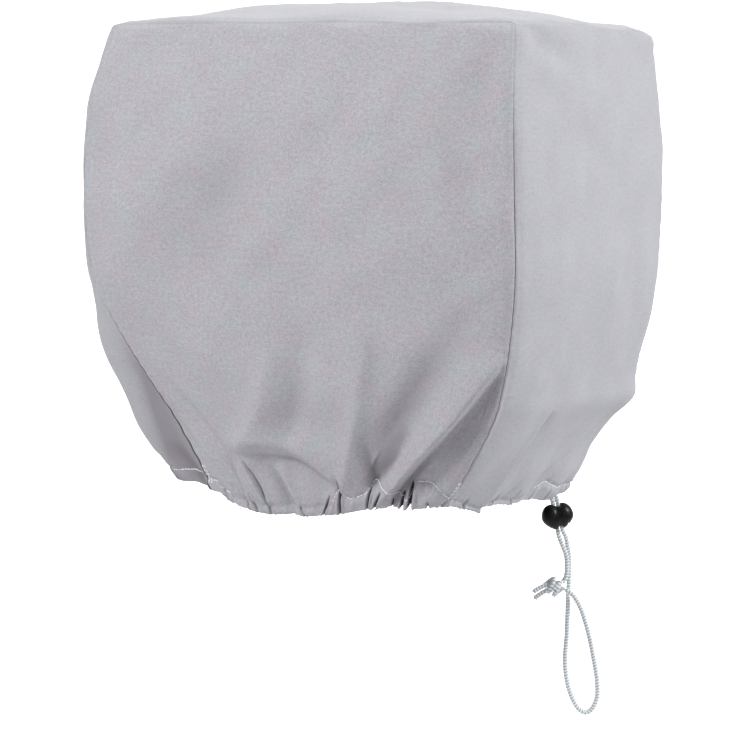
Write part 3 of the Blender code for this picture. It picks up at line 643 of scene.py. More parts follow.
def mesh_from(name, shape):
    mesh = bpy.data.meshes.new(name)
    shape.to_mesh(mesh)
    shape.free()
    return mesh


def read_points(mesh):
    points = np.empty(len(mesh.vertices) * 3)
    mesh.vertices.foreach_get("co", points)
    return points.reshape(-1, 3)


def write_points(mesh, points):
    mesh.vertices.foreach_set("co", np.ascontiguousarray(points, float).reshape(-1))
    mesh.update()


# The relief attribute drives painted shade: in the cloth it is the depth of its folds, in the cord the
# height of the braid over its grooves.
def write_relief(mesh, values):
    mesh.attributes.new("relief", "FLOAT", "POINT").data.foreach_set("value", values.astype(np.float32))


def write_cut(mesh, across, down):
    """The UV map "cut": each point's place on the flat cloth, in metres."""
    corner = np.empty(len(mesh.loops), np.int32)
    mesh.loops.foreach_get("vertex_index", corner)
    flat = np.stack([across[corner], down[corner]], axis=-1)
    mesh.uv_layers.new(name="cut").data.foreach_set("uv", flat.reshape(-1).astype(np.float32))


def face_out(mesh):
    """Turns a closed mesh's faces outwards."""
    mesh.calc_loop_triangles()
    corners = np.empty(len(mesh.loop_triangles) * 3, np.int32)
    mesh.loop_triangles.foreach_get("vertices", corners)
    points = read_points(mesh)[corners.reshape(-1, 3)]
    if np.linalg.det(points).sum() < 0:
        mesh.flip_normals()


def unit(steps):
    """Steps made one long."""
    return steps / np.linalg.norm(steps, axis=-1, keepdims=True)


def ease(value):
    """0 below 0, 1 above 1, and smooth between."""
    held = np.clip(value, 0.0, 1.0)
    return held * held * (3.0 - 2.0 * held)


def hump(distance, width, sharpness=2):
    """1 at no distance, and falling away over a width."""
    return np.exp(-((distance / width) ** sharpness))


def quarter_round(share):
    """The fall over a rounded edge, slow at 0 and steep at 1."""
    return 1 - np.sqrt(1 - share**2)


def wandering_wave(place, length, drift, drift_turn):
    return np.sin(2 * math.pi * place / length + drift * np.sin(place * drift_turn))


def smooth_curve(places, values, at):
    """Values given at some places, read elsewhere along a smooth curve through them."""
    slope = np.gradient(values, places)
    row = np.clip(np.searchsorted(places, at) - 1, 0, len(places) - 2)
    span = places[row + 1] - places[row]
    share = np.clip((at - places[row]) / span, 0.0, 1.0)
    rest = 1.0 - share
    return (
        values[row] * (1 + 2 * share) * rest**2
        + values[row + 1] * share**2 * (3 - 2 * share)
        + span * slope[row] * share * rest**2
        - span * slope[row + 1] * share**2 * rest
    )


def smooth_line(points, steps):
    """Points along a smooth curve through the given ones."""
    places = np.arange(len(points), dtype=float)
    at = np.linspace(0, places[-1], steps)
    return np.stack([smooth_curve(places, column, at) for column in np.transpose(points)], axis=-1)


def run_along(points):
    """How far along its line each point is."""
    return np.concatenate([[0.0], np.cumsum(np.linalg.norm(np.diff(points, axis=0), axis=1))])


def read_rows(at, run, rows):
    """Rows given along a run, read at other places on it."""
    return np.stack([np.interp(at, run, column) for column in rows.T], axis=-1)


def evenly(points, spacing=CORD_STEP):
    """The curve through the points, as points that are about that far apart."""
    fine = smooth_line(points, 60 * len(points))
    run = run_along(fine)
    count = max(2, int(round(run[-1] / spacing)) + 1)
    return read_rows(np.linspace(0.0, run[-1], count), run, fine)


# ---------------------------------------------------------------- the hanging cloth


def half_of(wall):
    return HALF_LENGTH if wall in SIDES else HALF_WIDTH


def box_places(wall, along, depth):
    """Points of the plain box: along is across the piece, and depth is down a wall or fore and aft."""
    along, depth = np.broadcast_arrays(along, depth)
    if wall == "top":
        return np.stack([depth, along, np.zeros_like(along)], axis=-1)
    side = np.full_like(along, -1.0 if wall in ("port", "rear") else 1.0)
    if wall in SIDES:
        return np.stack([along, side * HALF_WIDTH, -depth], axis=-1)
    return np.stack([side * HALF_LENGTH, along, -depth], axis=-1)


def round_edges(box):
    """Points on the plain box, moved onto its rounded edges."""
    low = np.array((EDGE_RADIUS - HALF_LENGTH, EDGE_RADIUS - HALF_WIDTH, -2 * WALL_DROP))
    high = np.array((HALF_LENGTH - EDGE_RADIUS, HALF_WIDTH - EDGE_RADIUS, -EDGE_RADIUS))
    core = np.clip(box, low, high)
    return core + unit(box - core) * EDGE_RADIUS


def section(name, depth):
    """One column of the table of sections, at a depth."""
    return smooth_curve(SECTIONS.depth, getattr(SECTIONS, name), depth)


def hang(box):
    """Where points of the rounded box hang on the cover."""
    length_place = box[..., 0] / HALF_LENGTH
    width_place = box[..., 1] / HALF_WIDTH
    depth = np.clip(-box[..., 2], 0.0, WALL_DROP)
    wall = Section(*(section(name, depth) for name in Section._fields))
    ahead = (1 + length_place) / 2
    aside = (1 + width_place) / 2
    power = FULLNESS_AT_TOP + FULLNESS_GAIN * (depth / WALL_DROP) ** 2
    over_width = 1 - np.abs(width_place) ** power
    over_length = 1 - np.abs(length_place) ** power
    x = wall.rear * (1 - ahead) + (wall.front - wall.lean * aside) * ahead
    x = x + (ahead * wall.front_bow - (1 - ahead) * wall.rear_bow) * over_width
    y = wall.port * (1 - aside) + wall.starboard * aside
    y = y + (aside * wall.starboard_bow - (1 - aside) * wall.port_bow) * over_length
    crown = CROWN_END_SHARE + (1 - CROWN_END_SHARE) * (1 - length_place**2)
    rise = (CROWN_RISE - CROWN_LOSS) * crown * (1 - width_place**2)
    rise = rise * np.clip(1 - depth / CROWN_REACH, 0, 1) ** 2
    corners = ((1 - ahead) * (1 - aside), ahead * (1 - aside), ahead * aside, (1 - ahead) * aside)
    share = depth / WALL_DROP
    sag = sum(part * (top + (hem - top) * share) for part, top, hem in zip(corners, TOP_SAG, HEM_SAG))
    top_centre = CROWN_RISE - sum(TOP_SAG) / 4 - CAD_THICKNESS
    return np.stack([x, y, box[..., 2] + rise - sag - top_centre], axis=-1)


def crease_height(crease, along, depth):
    """Height of one crease at points of its wall."""
    *sizes, sharpness, line = crease
    start, middle, end, before, after = np.divide(sizes, MM)
    line = smooth_line(np.divide(line, MM), CREASE_STEPS)
    reach = CREASE_REACH * max(before, after)
    low, high = line.min(axis=0) - reach, line.max(axis=0) + reach
    near = (along > low[0]) & (along < high[0]) & (depth > low[1]) & (depth < high[1])
    height = np.zeros_like(along)
    if not near.any():
        return height
    base, step = line[:-1], np.diff(line, axis=0)
    place = np.stack([along[near], depth[near]], axis=-1)[:, None, :]
    share = np.clip(((place - base) * step).sum(-1) / (step**2).sum(-1), 0.0, 1.0)
    away = place - (base + step * share[..., None])
    distance = np.hypot(away[..., 0], away[..., 1])
    nearest = distance.argmin(axis=-1)[:, None]

    def at_nearest(values):
        return np.take_along_axis(values, nearest, -1)[:, 0]

    side = at_nearest(step[:, 0] * away[..., 1] - step[:, 1] * away[..., 0])
    travel = (nearest[:, 0] + at_nearest(share)) / len(step)
    size = (
        start * (1 - travel) * (1 - 2 * travel)
        + middle * 4 * travel * (1 - travel)
        + end * travel * (2 * travel - 1)
    )
    height[near] = size * hump(at_nearest(distance), np.where(side > 0, before, after), sharpness)
    return height


def uneven_gathers(wall):
    """Gathers of a wall that is left to chance, in an order that is always the same."""
    count = HIDDEN_GATHERS[wall]
    chance = np.random.default_rng(GATHER_SEED + count)
    places = (np.arange(count) + 0.5 + chance.uniform(-HIDDEN_SHIFT, HIDDEN_SHIFT, count)) / count * 2 - 1
    made = []
    for number, place in enumerate(places):
        tuck = wall == "starboard" and number % 2 == 0
        depth, width, height = [chance.uniform(*ends) for ends in (HIDDEN_TUCK if tuck else HIDDEN_FOLD)]
        if not tuck and number % 3 == 1:
            depth = depth * HIDDEN_SWELL
        lean = chance.uniform(-HIDDEN_LEAN, HIDDEN_LEAN) - HIDDEN_LEAN_OUT * place
        made.append(Gather(half_of(wall) * place, depth, width, height, lean))
    return made


def gathers_of(wall):
    if wall in GATHERS:
        return [Gather(*np.divide(sizes, MM), lean) for *sizes, lean in GATHERS[wall]]
    return uneven_gathers(wall)


def tucks_of(wall):
    return sorted(gather for gather in gathers_of(wall) if gather.width < TUCK_WIDTH)


def gather_height(wall, along, depth):
    """How far the gathers move the cloth out above the hem, and their share of its painted shade."""
    above = WALL_DROP - depth
    height = np.zeros_like(along)
    shade = np.zeros_like(along)
    for gather in gathers_of(wall):
        near = above < gather.height
        share = above[near] / gather.height
        away = np.abs(along[near] - gather.place - gather.lean * above[near]) / gather.width
        if gather.width < TUCK_WIDTH:
            size = gather.depth * (1 - share**TUCK_FADE)
            valley = size * hump(away, 1, GATHER_SHARPNESS)
            height[near] += size * TUCK_LIP * hump(away - TUCK_LIP_PLACE, 1) - valley
            shade[near] -= TUCK_SHADE * valley
        else:
            kept = GATHER_AT_EDGE + (1 - GATHER_AT_EDGE) * ease(above[near] / GATHER_EDGE)
            size = gather.depth * (1 - share**GATHER_FADE) * kept
            valley = size * hump(away, 1 + GATHER_SPREAD * share, GATHER_SHARPNESS)
            height[near] -= valley
            shade[near] -= GATHER_SHADE * valley
    return height, shade


def ripple_height(wall, along, depth):
    """Slight unevenness, from waves that are the same each time."""
    chance = np.random.default_rng(RIPPLE_SEED + len(wall) * 7)
    height = np.zeros_like(along)
    for _ in range(RIPPLE_COUNT):
        length = RIPPLE_LENGTHS[0] * (RIPPLE_LENGTHS[1] / RIPPLE_LENGTHS[0]) ** chance.uniform()
        heading = chance.uniform(0, math.pi)
        start = chance.uniform(0, 2 * math.pi)
        phase = 2 * math.pi * (along * math.cos(heading) + depth * math.sin(heading)) / length + start
        height += RIPPLE_HEIGHT * length * np.sin(phase)
    return height


def hem_height(wall, along):
    """Height of the hem's stitching above its edge."""
    return np.interp(along, *np.transpose(HEM_STITCHES[wall]) / MM)


def near_edge(depth, reach):
    """0 above a reach from the hem's edge, growing evenly to 1 at the edge."""
    return np.clip((depth - WALL_DROP + reach) / reach, 0, 1)


def relief(wall, along, depth):
    """How far the cloth stands out of its even surface, how far the hem hangs down, and the painted shade
    of its folds, seams and gathers.
    """
    half = half_of(wall)
    to_seam = half - np.abs(along)
    beside_seam = ease(to_seam / SEAM_CALM)
    calm = beside_seam * ease((HALF_LENGTH - np.abs(depth) if wall == "top" else depth) / SEAM_CALM)
    out = sum(crease_height(crease, along, depth) for crease in CREASES[wall])
    # Painted shade: the creases' depth with the shade-only table, held above the deepest, and a thin line
    # along each seam.
    fold_shade = out + sum(crease_height(shade, along, depth) for shade in SHADES.get(wall, ()))
    fold_shade = np.maximum(fold_shade, -DEEPEST_SHADE)
    below_top = np.zeros_like(out) if wall == "top" else ease((depth - SEAM_TOP[0]) / SEAM_TOP[1])
    fold_shade = fold_shade - SEAM_SHADE * hump(to_seam, SEAM_SHADE_WIDTH) * below_top
    out = (out + ripple_height(wall, along, depth)) * calm
    rolled = SEAM_ROLL_DEPTH * quarter_round(1 - np.clip(to_seam / SEAM_ROLL, 0, 1))
    out = out - rolled * (SEAM_ROLL_AT_TOP + (1 - SEAM_ROLL_AT_TOP) * below_top)
    out = out + SEAM_RIDGE * hump(to_seam - SEAM_RIDGE_PLACE, SEAM_RIDGE_WIDTH)
    pucker = wandering_wave(depth, *SEAM_PUCKER_WAVE) * hump(to_seam, SEAM_PUCKER_REACH)
    out = out + SEAM_PUCKER * pucker
    if wall == "top":
        return out, np.zeros_like(out), fold_shade
    gathered, shade = gather_height(wall, along, depth)
    hem = hem_height(wall, along)
    below_stitches = depth - WALL_DROP + hem
    pucker = PUCKER_HEIGHT * wandering_wave(along, *PUCKER_WAVE) * hump(below_stitches, PUCKER_REACH)
    out = out + (gathered + pucker) * beside_seam
    puff = np.clip(1 - (2 * np.clip(below_stitches / hem, 0, 1) - 1) ** 4, 0, 1)
    out = out + HEM_PUFF * np.sqrt(puff)
    out = out - STITCH_GROOVE * hump(below_stitches, STITCH_GROOVE_WIDTH)
    out = out - HEM_LIP * quarter_round(near_edge(depth, HEM_LIP)) * LIP_FALL
    places, falls = np.transpose(HEM_LINES[wall])
    low = near_edge(depth, HEM_LINE_REACH) ** 2 * smooth_curve(places, falls / MM, along / half)
    return out, low, fold_shade + shade


def cloth_surface(wall, along, depth):
    """The cloth's outer points, the inward steps to its inner face, and the painted shade of its folds."""
    half = half_of(wall)
    along, depth = np.broadcast_arrays(along, depth)
    start, end = (-HALF_LENGTH, HALF_LENGTH) if wall == "top" else (0.0, WALL_DROP)

    def even(at_along, at_depth):
        return hang(round_edges(box_places(wall, at_along, at_depth)))

    across = even(np.minimum(along + NORMAL_STEP, half), depth)
    across = across - even(np.maximum(along - NORMAL_STEP, -half), depth)
    down = even(along, np.maximum(depth - NORMAL_STEP, start))
    down = down - even(along, np.minimum(depth + NORMAL_STEP, end))
    normal = unit(np.cross(across, down) * (-1.0 if wall in TURNED_WALLS else 1.0))
    out, low, fold_shade = relief(wall, along, depth)
    thickness = np.full_like(out, CLOTH_THICKNESS)
    if wall != "top":
        doubled = ease(((depth - WALL_DROP) / hem_height(wall, along) + 1) * HEM_DOUBLING)
        thickness = thickness + HEM_DEPTH * (doubled - LIP_THINNING * near_edge(depth, HEM_LIP) ** 2)
    points = even(along, depth) + normal * out[..., None]
    points[..., 2] -= low
    return points, normal * -thickness[..., None], fold_shade


def grid_lines(start, stretches):
    """Places of grid lines, from a start through stretches of (end, spacing)."""
    lines = [start]
    for end, spacing in stretches:
        count = max(1, int(round((end - lines[-1]) / spacing)))
        lines.extend(np.linspace(lines[-1], end, count + 1)[1:])
    return np.array(lines)


def across_lines(half, spacing, *breaks):
    """Grid lines from edge to edge of a piece of cloth, with fine ones beside both edges."""
    last = half - EDGE_LINES[-1]
    inner = grid_lines(-last, [(end, spacing) for end in (*breaks, last)])
    return np.concatenate([EDGE_LINES[:-1] - half, inner, (half - EDGE_LINES[:-1])[::-1]])


def drop_lines(spacings):
    """Grid lines down a wall, from the spacings of its stretches, with fine ones at the hem's lip."""
    stretches = zip(DROP_BREAKS, (*spacings, LIP_SPACING))
    return np.concatenate([EDGE_LINES[:-1], grid_lines(EDGE_LINES[-1], stretches)])


def with_tucks(lines, wall):
    """Grid lines across a wall, with fine ones added at its tucks."""
    clear = EDGE_LINES[-1] + 0.0001
    fine = np.array(sorted(tuck.place + step for tuck in tucks_of(wall) for step in TUCK_LINES))
    apart = np.abs(lines[:, None] - fine).min(axis=1)
    at_seam = lines[-1] - np.abs(lines) < clear
    fine = fine[lines[-1] - np.abs(fine) > clear]
    merged = np.sort(np.concatenate([lines[(apart > TUCK_CLEARANCE) | at_seam], fine]))
    return merged[np.concatenate([[True], np.diff(merged) > LEAST_SPACING])]


def lean_columns(wall, lines, drops):
    """Places along a wall for each column and row of its grid, whose columns follow the tucks."""
    tucks = [] if wall == "top" else tucks_of(wall)
    if not tucks:
        return np.repeat(lines[:, None], len(drops), axis=1)
    places = [lines[0]] + [tuck.place for tuck in tucks] + [lines[-1]]
    above = WALL_DROP - drops
    steps = np.array([tuck.lean * np.minimum(above, tuck.height) for tuck in tucks])
    steps = np.pad(steps * (1 - ease((above - TUCK_CALM[0]) / TUCK_CALM[1])), ((1, 1), (0, 0)))
    shift = [np.interp(lines, places, steps[:, row]) for row in range(len(drops))]
    spread = LEAST_LEANING_SPACING * np.arange(len(lines))[:, None]
    return np.maximum.accumulate(lines[:, None] + np.transpose(shift) - spread, axis=0) + spread


def cloth_grid(name, columns, rows):
    """A flat grid and its underside, as one closed mesh whose corners count columns, rows and layers."""
    shape = bmesh.new()
    bmesh.ops.create_grid(shape, x_segments=columns, y_segments=rows, size=0.5)
    made = bmesh.ops.extrude_face_region(shape, geom=shape.faces[:], use_keep_orig=True)
    under = [item for item in made["geom"] if isinstance(item, bmesh.types.BMVert)]
    bmesh.ops.translate(shape, verts=under, vec=(0.0, 0.0, 1.0))
    mesh = mesh_from(name, shape)
    counts = read_points(mesh)
    counts[:, :2] = (counts[:, :2] + 0.5) * (columns, rows)
    return mesh, np.rint(counts).astype(int)


def stretch_at(depth, low, high, half):
    """How wide the cover is at a depth, as a share of the box."""
    return (section(high, depth) - section(low, depth)) / (2 * half)


def dress_cloth(mesh, counts, surface, across, down):
    """Puts a cloth's points, its folds' painted shade and its cut on its mesh, from tables with a place for
    each grid point.
    """
    column, row, layer = counts.T
    outer, inward, fold_shade = surface
    write_points(mesh, outer[column, row] + inward[column, row] * layer[:, None])
    write_relief(mesh, fold_shade[column, row] / RELIEF_SCALE)
    write_cut(mesh, across[column, row], down[row])
    face_out(mesh)
    mesh.shade_smooth()
    return mesh


def side_panel(name, wall, spacing, drop_spacings):
    lines = with_tucks(across_lines(HALF_LENGTH, spacing, ACROSS_BREAK), wall)
    drops = drop_lines(drop_spacings)
    mesh, counts = cloth_grid(name, len(lines) - 1, len(drops) - 1)
    depth = np.maximum(drops, SEAM_GAP / 2)[None, :]
    limit = HALF_LENGTH - SEAM_GAP / 2 / stretch_at(depth, "rear", "front", HALF_LENGTH)
    along = lean_columns(wall, lines, drops)
    surface = cloth_surface(wall, np.clip(along, -limit, limit), depth)
    return dress_cloth(mesh, counts, surface, along, drops)


def centre_strip(name):
    """Front wall, top and rear wall in one length of cloth."""
    lines = with_tucks(across_lines(HALF_WIDTH, STRIP_SPACING, ACROSS_BREAK), "front")
    up_front = drop_lines(FRONT_SPACINGS)[::-1]
    over_top = across_lines(HALF_LENGTH, TOP_SPACING)[::-1][1:-1]
    down_rear = drop_lines(REAR_SPACINGS)
    down = np.concatenate([-up_front - HALF_LENGTH, -over_top, HALF_LENGTH + down_rear])
    mesh, counts = cloth_grid(name, len(lines) - 1, len(down) - 1)
    tables = []
    for wall, rows in (("front", up_front), ("top", over_top), ("rear", down_rear)):
        level = np.zeros(len(rows)) if wall == "top" else rows
        limit = HALF_WIDTH - SEAM_GAP / 2 / stretch_at(level[None, :], "port", "starboard", HALF_WIDTH)
        along = lean_columns(wall, lines, rows)
        tables.append((*cloth_surface(wall, np.clip(along, -limit, limit), rows[None, :]), along))
    *surface, across = [np.concatenate(parts, axis=1) for parts in zip(*tables)]
    return dress_cloth(mesh, counts, surface, across, down)


# ---------------------------------------------------------------- stitching


def add_stitches(shape, wall, along, depth):
    """Stitches end to end along a line on a wall, each a short rounded thread."""
    points, inward, _ = cloth_surface(wall, along, depth)
    run = run_along(points)
    count = int(run[-1] / STITCH_PITCH)
    middles = (np.arange(count) + 0.5) * run[-1] / count
    starts = read_rows(middles - STITCH_LENGTH / 2, run, points)
    ends = read_rows(middles + STITCH_LENGTH / 2, run, points)
    for start, end, normal in zip(starts, ends, read_rows(middles, run, -inward)):
        forward = Vector(end - start).normalized()
        side = Vector(normal).cross(forward).normalized()
        up = forward.cross(side)
        place = Matrix.Translation(Vector((start + end) / 2) + up * THREAD_RADIUS * THREAD_RISE)
        turn = Matrix((side, up, forward)).transposed().to_4x4()
        size = Matrix.Diagonal((THREAD_RADIUS, THREAD_RADIUS * THREAD_FLATNESS, STITCH_LENGTH / 2, 1.0))
        whole = place @ turn @ size
        bmesh.ops.create_uvsphere(shape, u_segments=8, v_segments=6, radius=1.0, matrix=whole)


def stitching(name):
    shape = bmesh.new()
    for wall, low, high in STITCH_RUNS:
        along = np.linspace(low, high, HEM_STITCH_STEPS) * half_of(wall)
        add_stitches(shape, wall, along, WALL_DROP - hem_height(wall, along))
    depth = np.linspace(SEAM_STITCH_TOP, SEAM_STITCH_END, SEAM_STITCH_STEPS)
    for wall in SIDES:
        for end in (1, -1):
            for offset in SEAM_STITCH_OFFSETS:
                add_stitches(shape, wall, np.full_like(depth, end * (HALF_LENGTH - offset)), depth)
    mesh = mesh_from(name, shape)
    mesh.shade_smooth()
    return mesh


# ---------------------------------------------------------------- cord and knot


def tube_frames(points):
    """Two steps square to a line at each of its points, which turn as little as they can."""
    along = unit(np.gradient(points, axis=0))
    side = np.zeros_like(points)
    last = np.cross(along[0], (0.0, 0.0, 1.0) if abs(along[0][2]) < 0.9 else (0.0, 1.0, 0.0))
    for index, forward in enumerate(along):
        last = unit(last - forward * last.dot(forward))
        side[index] = last
    return side, np.cross(along, side)


def braid_relief(run, around):
    """Height of the braid, from 0 in its grooves to 1 on its crowns, with yarns leaning in turn."""
    wale = np.abs(around * BRAID_WALES / (2 * math.pi) % 2 - 1)
    return np.abs(np.sin(math.pi * (run / BRAID_PITCH + BRAID_LEAN * wale))) ** BRAID_FULLNESS


def braided_tube(name, points, radii, sides=CORD_SIDES, flat_turn=None, held=1.0):
    """A closed braided tube along points. Radii are its half sizes along and across flat_turn.

    held is the share of its thickness that is left at each point, where something squeezes it.
    """
    count = len(points)
    shape = bmesh.new()
    bmesh.ops.create_grid(shape, x_segments=count - 1, y_segments=sides, size=0.5)
    mesh = mesh_from(name, shape)
    counts = read_points(mesh)
    ring = np.rint((counts[:, 0] + 0.5) * (count - 1)).astype(int)
    around = np.rint((counts[:, 1] + 0.5) * sides) % sides * 2 * math.pi / sides
    run = run_along(points)
    height = braid_relief(run[ring], around)
    side, other = tube_frames(points)
    if flat_turn is not None:
        side = unit(np.cross(np.gradient(points, axis=0), flat_turn))
        other = np.broadcast_to(flat_turn, points.shape)
    to_end = np.clip(np.minimum(run[ring], run[-1] - run[ring]) / min(radii), 0, 1)
    rounded = np.sqrt(np.clip(1 - (1 - to_end) ** 2, TUBE_END_SHARE, 1))
    size = (1 + BRAID_RELIEF * (height - BRAID_MIDDLE)) * rounded * np.broadcast_to(held, count)[ring]
    write_points(mesh, (
        points[ring]
        + side[ring] * (np.cos(around) * size * radii[1])[:, None]
        + other[ring] * (np.sin(around) * size * radii[0])[:, None]
    ))
    write_relief(mesh, height)
    shape = bmesh.new()
    shape.from_mesh(mesh)
    bpy.data.meshes.remove(mesh)
    bmesh.ops.remove_doubles(shape, verts=shape.verts, dist=1e-7)
    bmesh.ops.holes_fill(shape, edges=[edge for edge in shape.edges if edge.is_boundary], sides=0)
    bmesh.ops.recalc_face_normals(shape, faces=shape.faces)
    mesh = mesh_from(name, shape)
    face_out(mesh)
    mesh.shade_smooth()
    return mesh


def joined(name, meshes):
    """Several meshes as one."""
    shape = bmesh.new()
    for mesh in meshes:
        shape.from_mesh(mesh)
        bpy.data.meshes.remove(mesh)
    mesh = mesh_from(name, shape)
    mesh.shade_smooth()
    return mesh


def in_cord_plane(along, up, behind=0.0):
    """A point of the upright plane in which the cord hangs, under its exit."""
    turn = Matrix.Rotation(CORD_PLANE_TURN, 3, "Z")
    return CORD_EXIT + turn @ Vector((along, behind, up))


def line_in_plane(points):
    """Points of the cord's plane, from a table."""
    return np.array([tuple(in_cord_plane(*np.divide(point, MM))) for point in points])


def lock_frame():
    """The lock's own axes, as a matrix."""
    turn = Matrix.Rotation(CORD_PLANE_TURN, 4, "Z") @ Matrix.Rotation(-LOCK_TILT, 4, "Y")
    return Matrix.Translation(in_cord_plane(LOCK_ALONG, -LOCK_DOWN)) @ turn


def strand(name, route, side):
    """One cord end: from the hem, straight through the lock, then along its route."""
    place = lock_frame()
    through = [place @ Vector((side * STRAND_OFFSET, 0.0, up)) for up in LOCK_STRAIGHT]
    start, *below = line_in_plane(route)
    points = evenly([start] + [tuple(point) for point in through] + below)
    from_lock = np.linalg.norm(points - np.array(place.translation), axis=1)
    held = 1 - LOCK_PINCH * (1 - ease((from_lock - LOCK_PINCH_REACH) / LOCK_PINCH_FADE))
    return braided_tube(name, points, (CORD_RADIUS, CORD_RADIUS), held=held), points


def fray(tip, heading, chance):
    """Loose yarns at a cord's cut end."""
    yarns = []
    for number in range(FRAY_YARNS):
        way = unit(heading + chance.normal(0.0, FRAY_SPREAD, 3))
        offset = chance.uniform(-FRAY_OFFSET, FRAY_OFFSET, 3)
        length = FRAY_LENGTH * chance.uniform(*FRAY_LENGTH_SHARES)
        bend = chance.normal(0.0, FRAY_BEND, 3)
        along = np.linspace(-FRAY_ROOT, length, FRAY_STEPS)[:, None]
        points = tip + offset + along * way + bend * (along / length).clip(0) ** 2 * length
        yarns.append(braided_tube(f"yarn_{number}", points, (FRAY_RADIUS, FRAY_RADIUS), sides=FRAY_SIDES))
    return yarns


def cord_knot(name):
    """The turns of the knot, its tucked strand and its two ends."""
    turn = Matrix.Rotation(CORD_PLANE_TURN, 3, "Z")
    across_plane = np.array(turn @ Vector((0.0, 1.0, 0.0)))
    axis = np.array(turn @ Vector((math.cos(KNOT_TILT), 0.0, math.sin(KNOT_TILT))))
    upright = np.cross(axis, across_plane)
    share = np.linspace(-1.0, 1.0, KNOT_STEPS)
    angle = share * math.pi * KNOT_TURNS
    bulge = 1 - KNOT_BULGE * share**2
    turns = (
        np.array(in_cord_plane(*KNOT_CENTRE))
        + axis * (share * KNOT_HALF_LENGTH)[:, None]
        + across_plane * (np.cos(angle) * bulge * KNOT_RING[0])[:, None]
        + upright * (np.sin(angle) * bulge * KNOT_RING[1])[:, None]
    )
    tuck = evenly(line_in_plane(KNOT_TUCK))
    meshes = [
        braided_tube("turns", turns, (KNOT_CORD_RADIUS, KNOT_CORD_RADIUS)),
        braided_tube("tuck", tuck, (KNOT_TUCK_RADIUS, KNOT_TUCK_RADIUS)),
    ]
    chance = np.random.default_rng(FRAY_SEED)
    for number, tail in enumerate(TAILS):
        points = evenly(line_in_plane(tail))
        meshes.append(braided_tube(f"tail_{number}", points, TAIL_RADII, flat_turn=across_plane))
        meshes.extend(fray(points[-3], points[-1] - points[-8], chance))
    return joined(name, meshes)


# ---------------------------------------------------------------- cord lock


def lobe(side):
    """One half of the ball: an egg that narrows towards its lower end."""
    shape = bmesh.new()
    bmesh.ops.create_uvsphere(shape, u_segments=LOBE_SEGMENTS, v_segments=LOBE_RINGS, radius=1.0)
    for vertex in shape.verts:
        x, y, z = (value * radius for value, radius in zip(vertex.co, LOBE_RADII))
        narrow = 1 - LOBE_TAPER * max(0.0, -z / LOBE_RADII[2]) ** 2
        vertex.co = ((x + side * LOBE_OFFSET) * narrow, y, z)
    return shape


def laid_along_x(shape, start, end, turn):
    """A bar made round the origin, turned and put between two places on X."""
    place = Matrix.Translation(((start + end) / 2, 0.0, 0.0)) @ turn
    bmesh.ops.transform(shape, matrix=place, verts=shape.verts)
    return shape


def rod(start, end, radius):
    """A round bar along X."""
    shape = bmesh.new()
    bmesh.ops.create_cone(
        shape, cap_ends=True, segments=LOBE_SEGMENTS, radius1=radius, radius2=radius, depth=end - start
    )
    return laid_along_x(shape, start, end, Matrix.Rotation(math.radians(90), 4, "Y"))


def block(start, end, half_width=LOCK_SPAN, half_height=LOCK_SPAN):
    """A bar along X with flat sides."""
    shape = bmesh.new()
    bmesh.ops.create_cube(shape, size=1.0)
    size = Matrix.Diagonal((end - start, 2 * half_width, 2 * half_height, 1.0))
    return laid_along_x(shape, start, end, size)


def cord_slot(end):
    return block(-SLOT_HALF_LENGTH, end, SLOT_HALF_WIDTH, 2 * LOBE_RADII[2])


def solid(name, shape):
    bmesh.ops.recalc_face_normals(shape, faces=shape.faces)
    return put(name, mesh_from(name, shape))


def lock_half(name, base, steps):
    """Joins and cuts solids in order, shades the result smooth but for its sharp edges, and puts it in its
    place.
    """
    body = solid(name, base)
    tools = [solid(f"{name}_tool_{number}", tool) for number, (_, tool) in enumerate(steps)]
    for (operation, _), tool in zip(steps, tools):
        modifier = body.modifiers.new(operation, "BOOLEAN")
        modifier.operation = operation
        modifier.object = tool
    bpy.context.view_layer.update()
    evaluated = body.evaluated_get(bpy.context.evaluated_depsgraph_get())
    shape = bmesh.new()
    shape.from_mesh(evaluated.to_mesh())
    evaluated.to_mesh_clear()
    for thing in [body] + tools:
        bpy.data.objects.remove(thing)
    bmesh.ops.dissolve_degenerate(shape, edges=shape.edges, dist=1e-6)
    bmesh.ops.transform(shape, matrix=lock_frame(), verts=shape.verts)
    mesh = mesh_from(name, shape)
    mesh.shade_smooth()
    mesh.set_sharp_from_angle(angle=SHARP_EDGE)
    return mesh


def lock_body(name):
    """The fixed half: a lobe with a waist, a blind pocket for the stem and a slot for the cord."""
    return lock_half(name, lobe(-1), (
        ("DIFFERENCE", block(0.0, LOCK_SPAN)),
        ("UNION", rod(*WAIST)),
        ("DIFFERENCE", rod(*POCKET)),
        ("DIFFERENCE", cord_slot(SLOT_HALF_LENGTH)),
    ))


def lock_button(name):
    """The half that is squeezed: a cap over the waist, and a stem with a slot for the cord."""
    cord_room = SLOT_HALF_LENGTH + PRESS_TRAVEL
    return lock_half(name, lobe(1), (
        ("DIFFERENCE", block(-LOCK_SPAN, RIM_START)),
        ("DIFFERENCE", rod(*RECESS)),
        ("DIFFERENCE", cord_slot(cord_room)),
        ("UNION", rod(*STEM)),
        ("DIFFERENCE", cord_slot(cord_room)),
    ))


# ---------------------------------------------------------------- room, light and camera


def camera():
    made = put("camera", bpy.data.cameras.new("camera"))
    made.location = CAMERA_PLACE
    made.rotation_euler = CAMERA_TURN
    made.data.lens = CAMERA_LENS
    made.data.sensor_width = CAMERA_SENSOR
    made.data.clip_end = CAMERA_REACH
    bpy.context.scene.camera = made


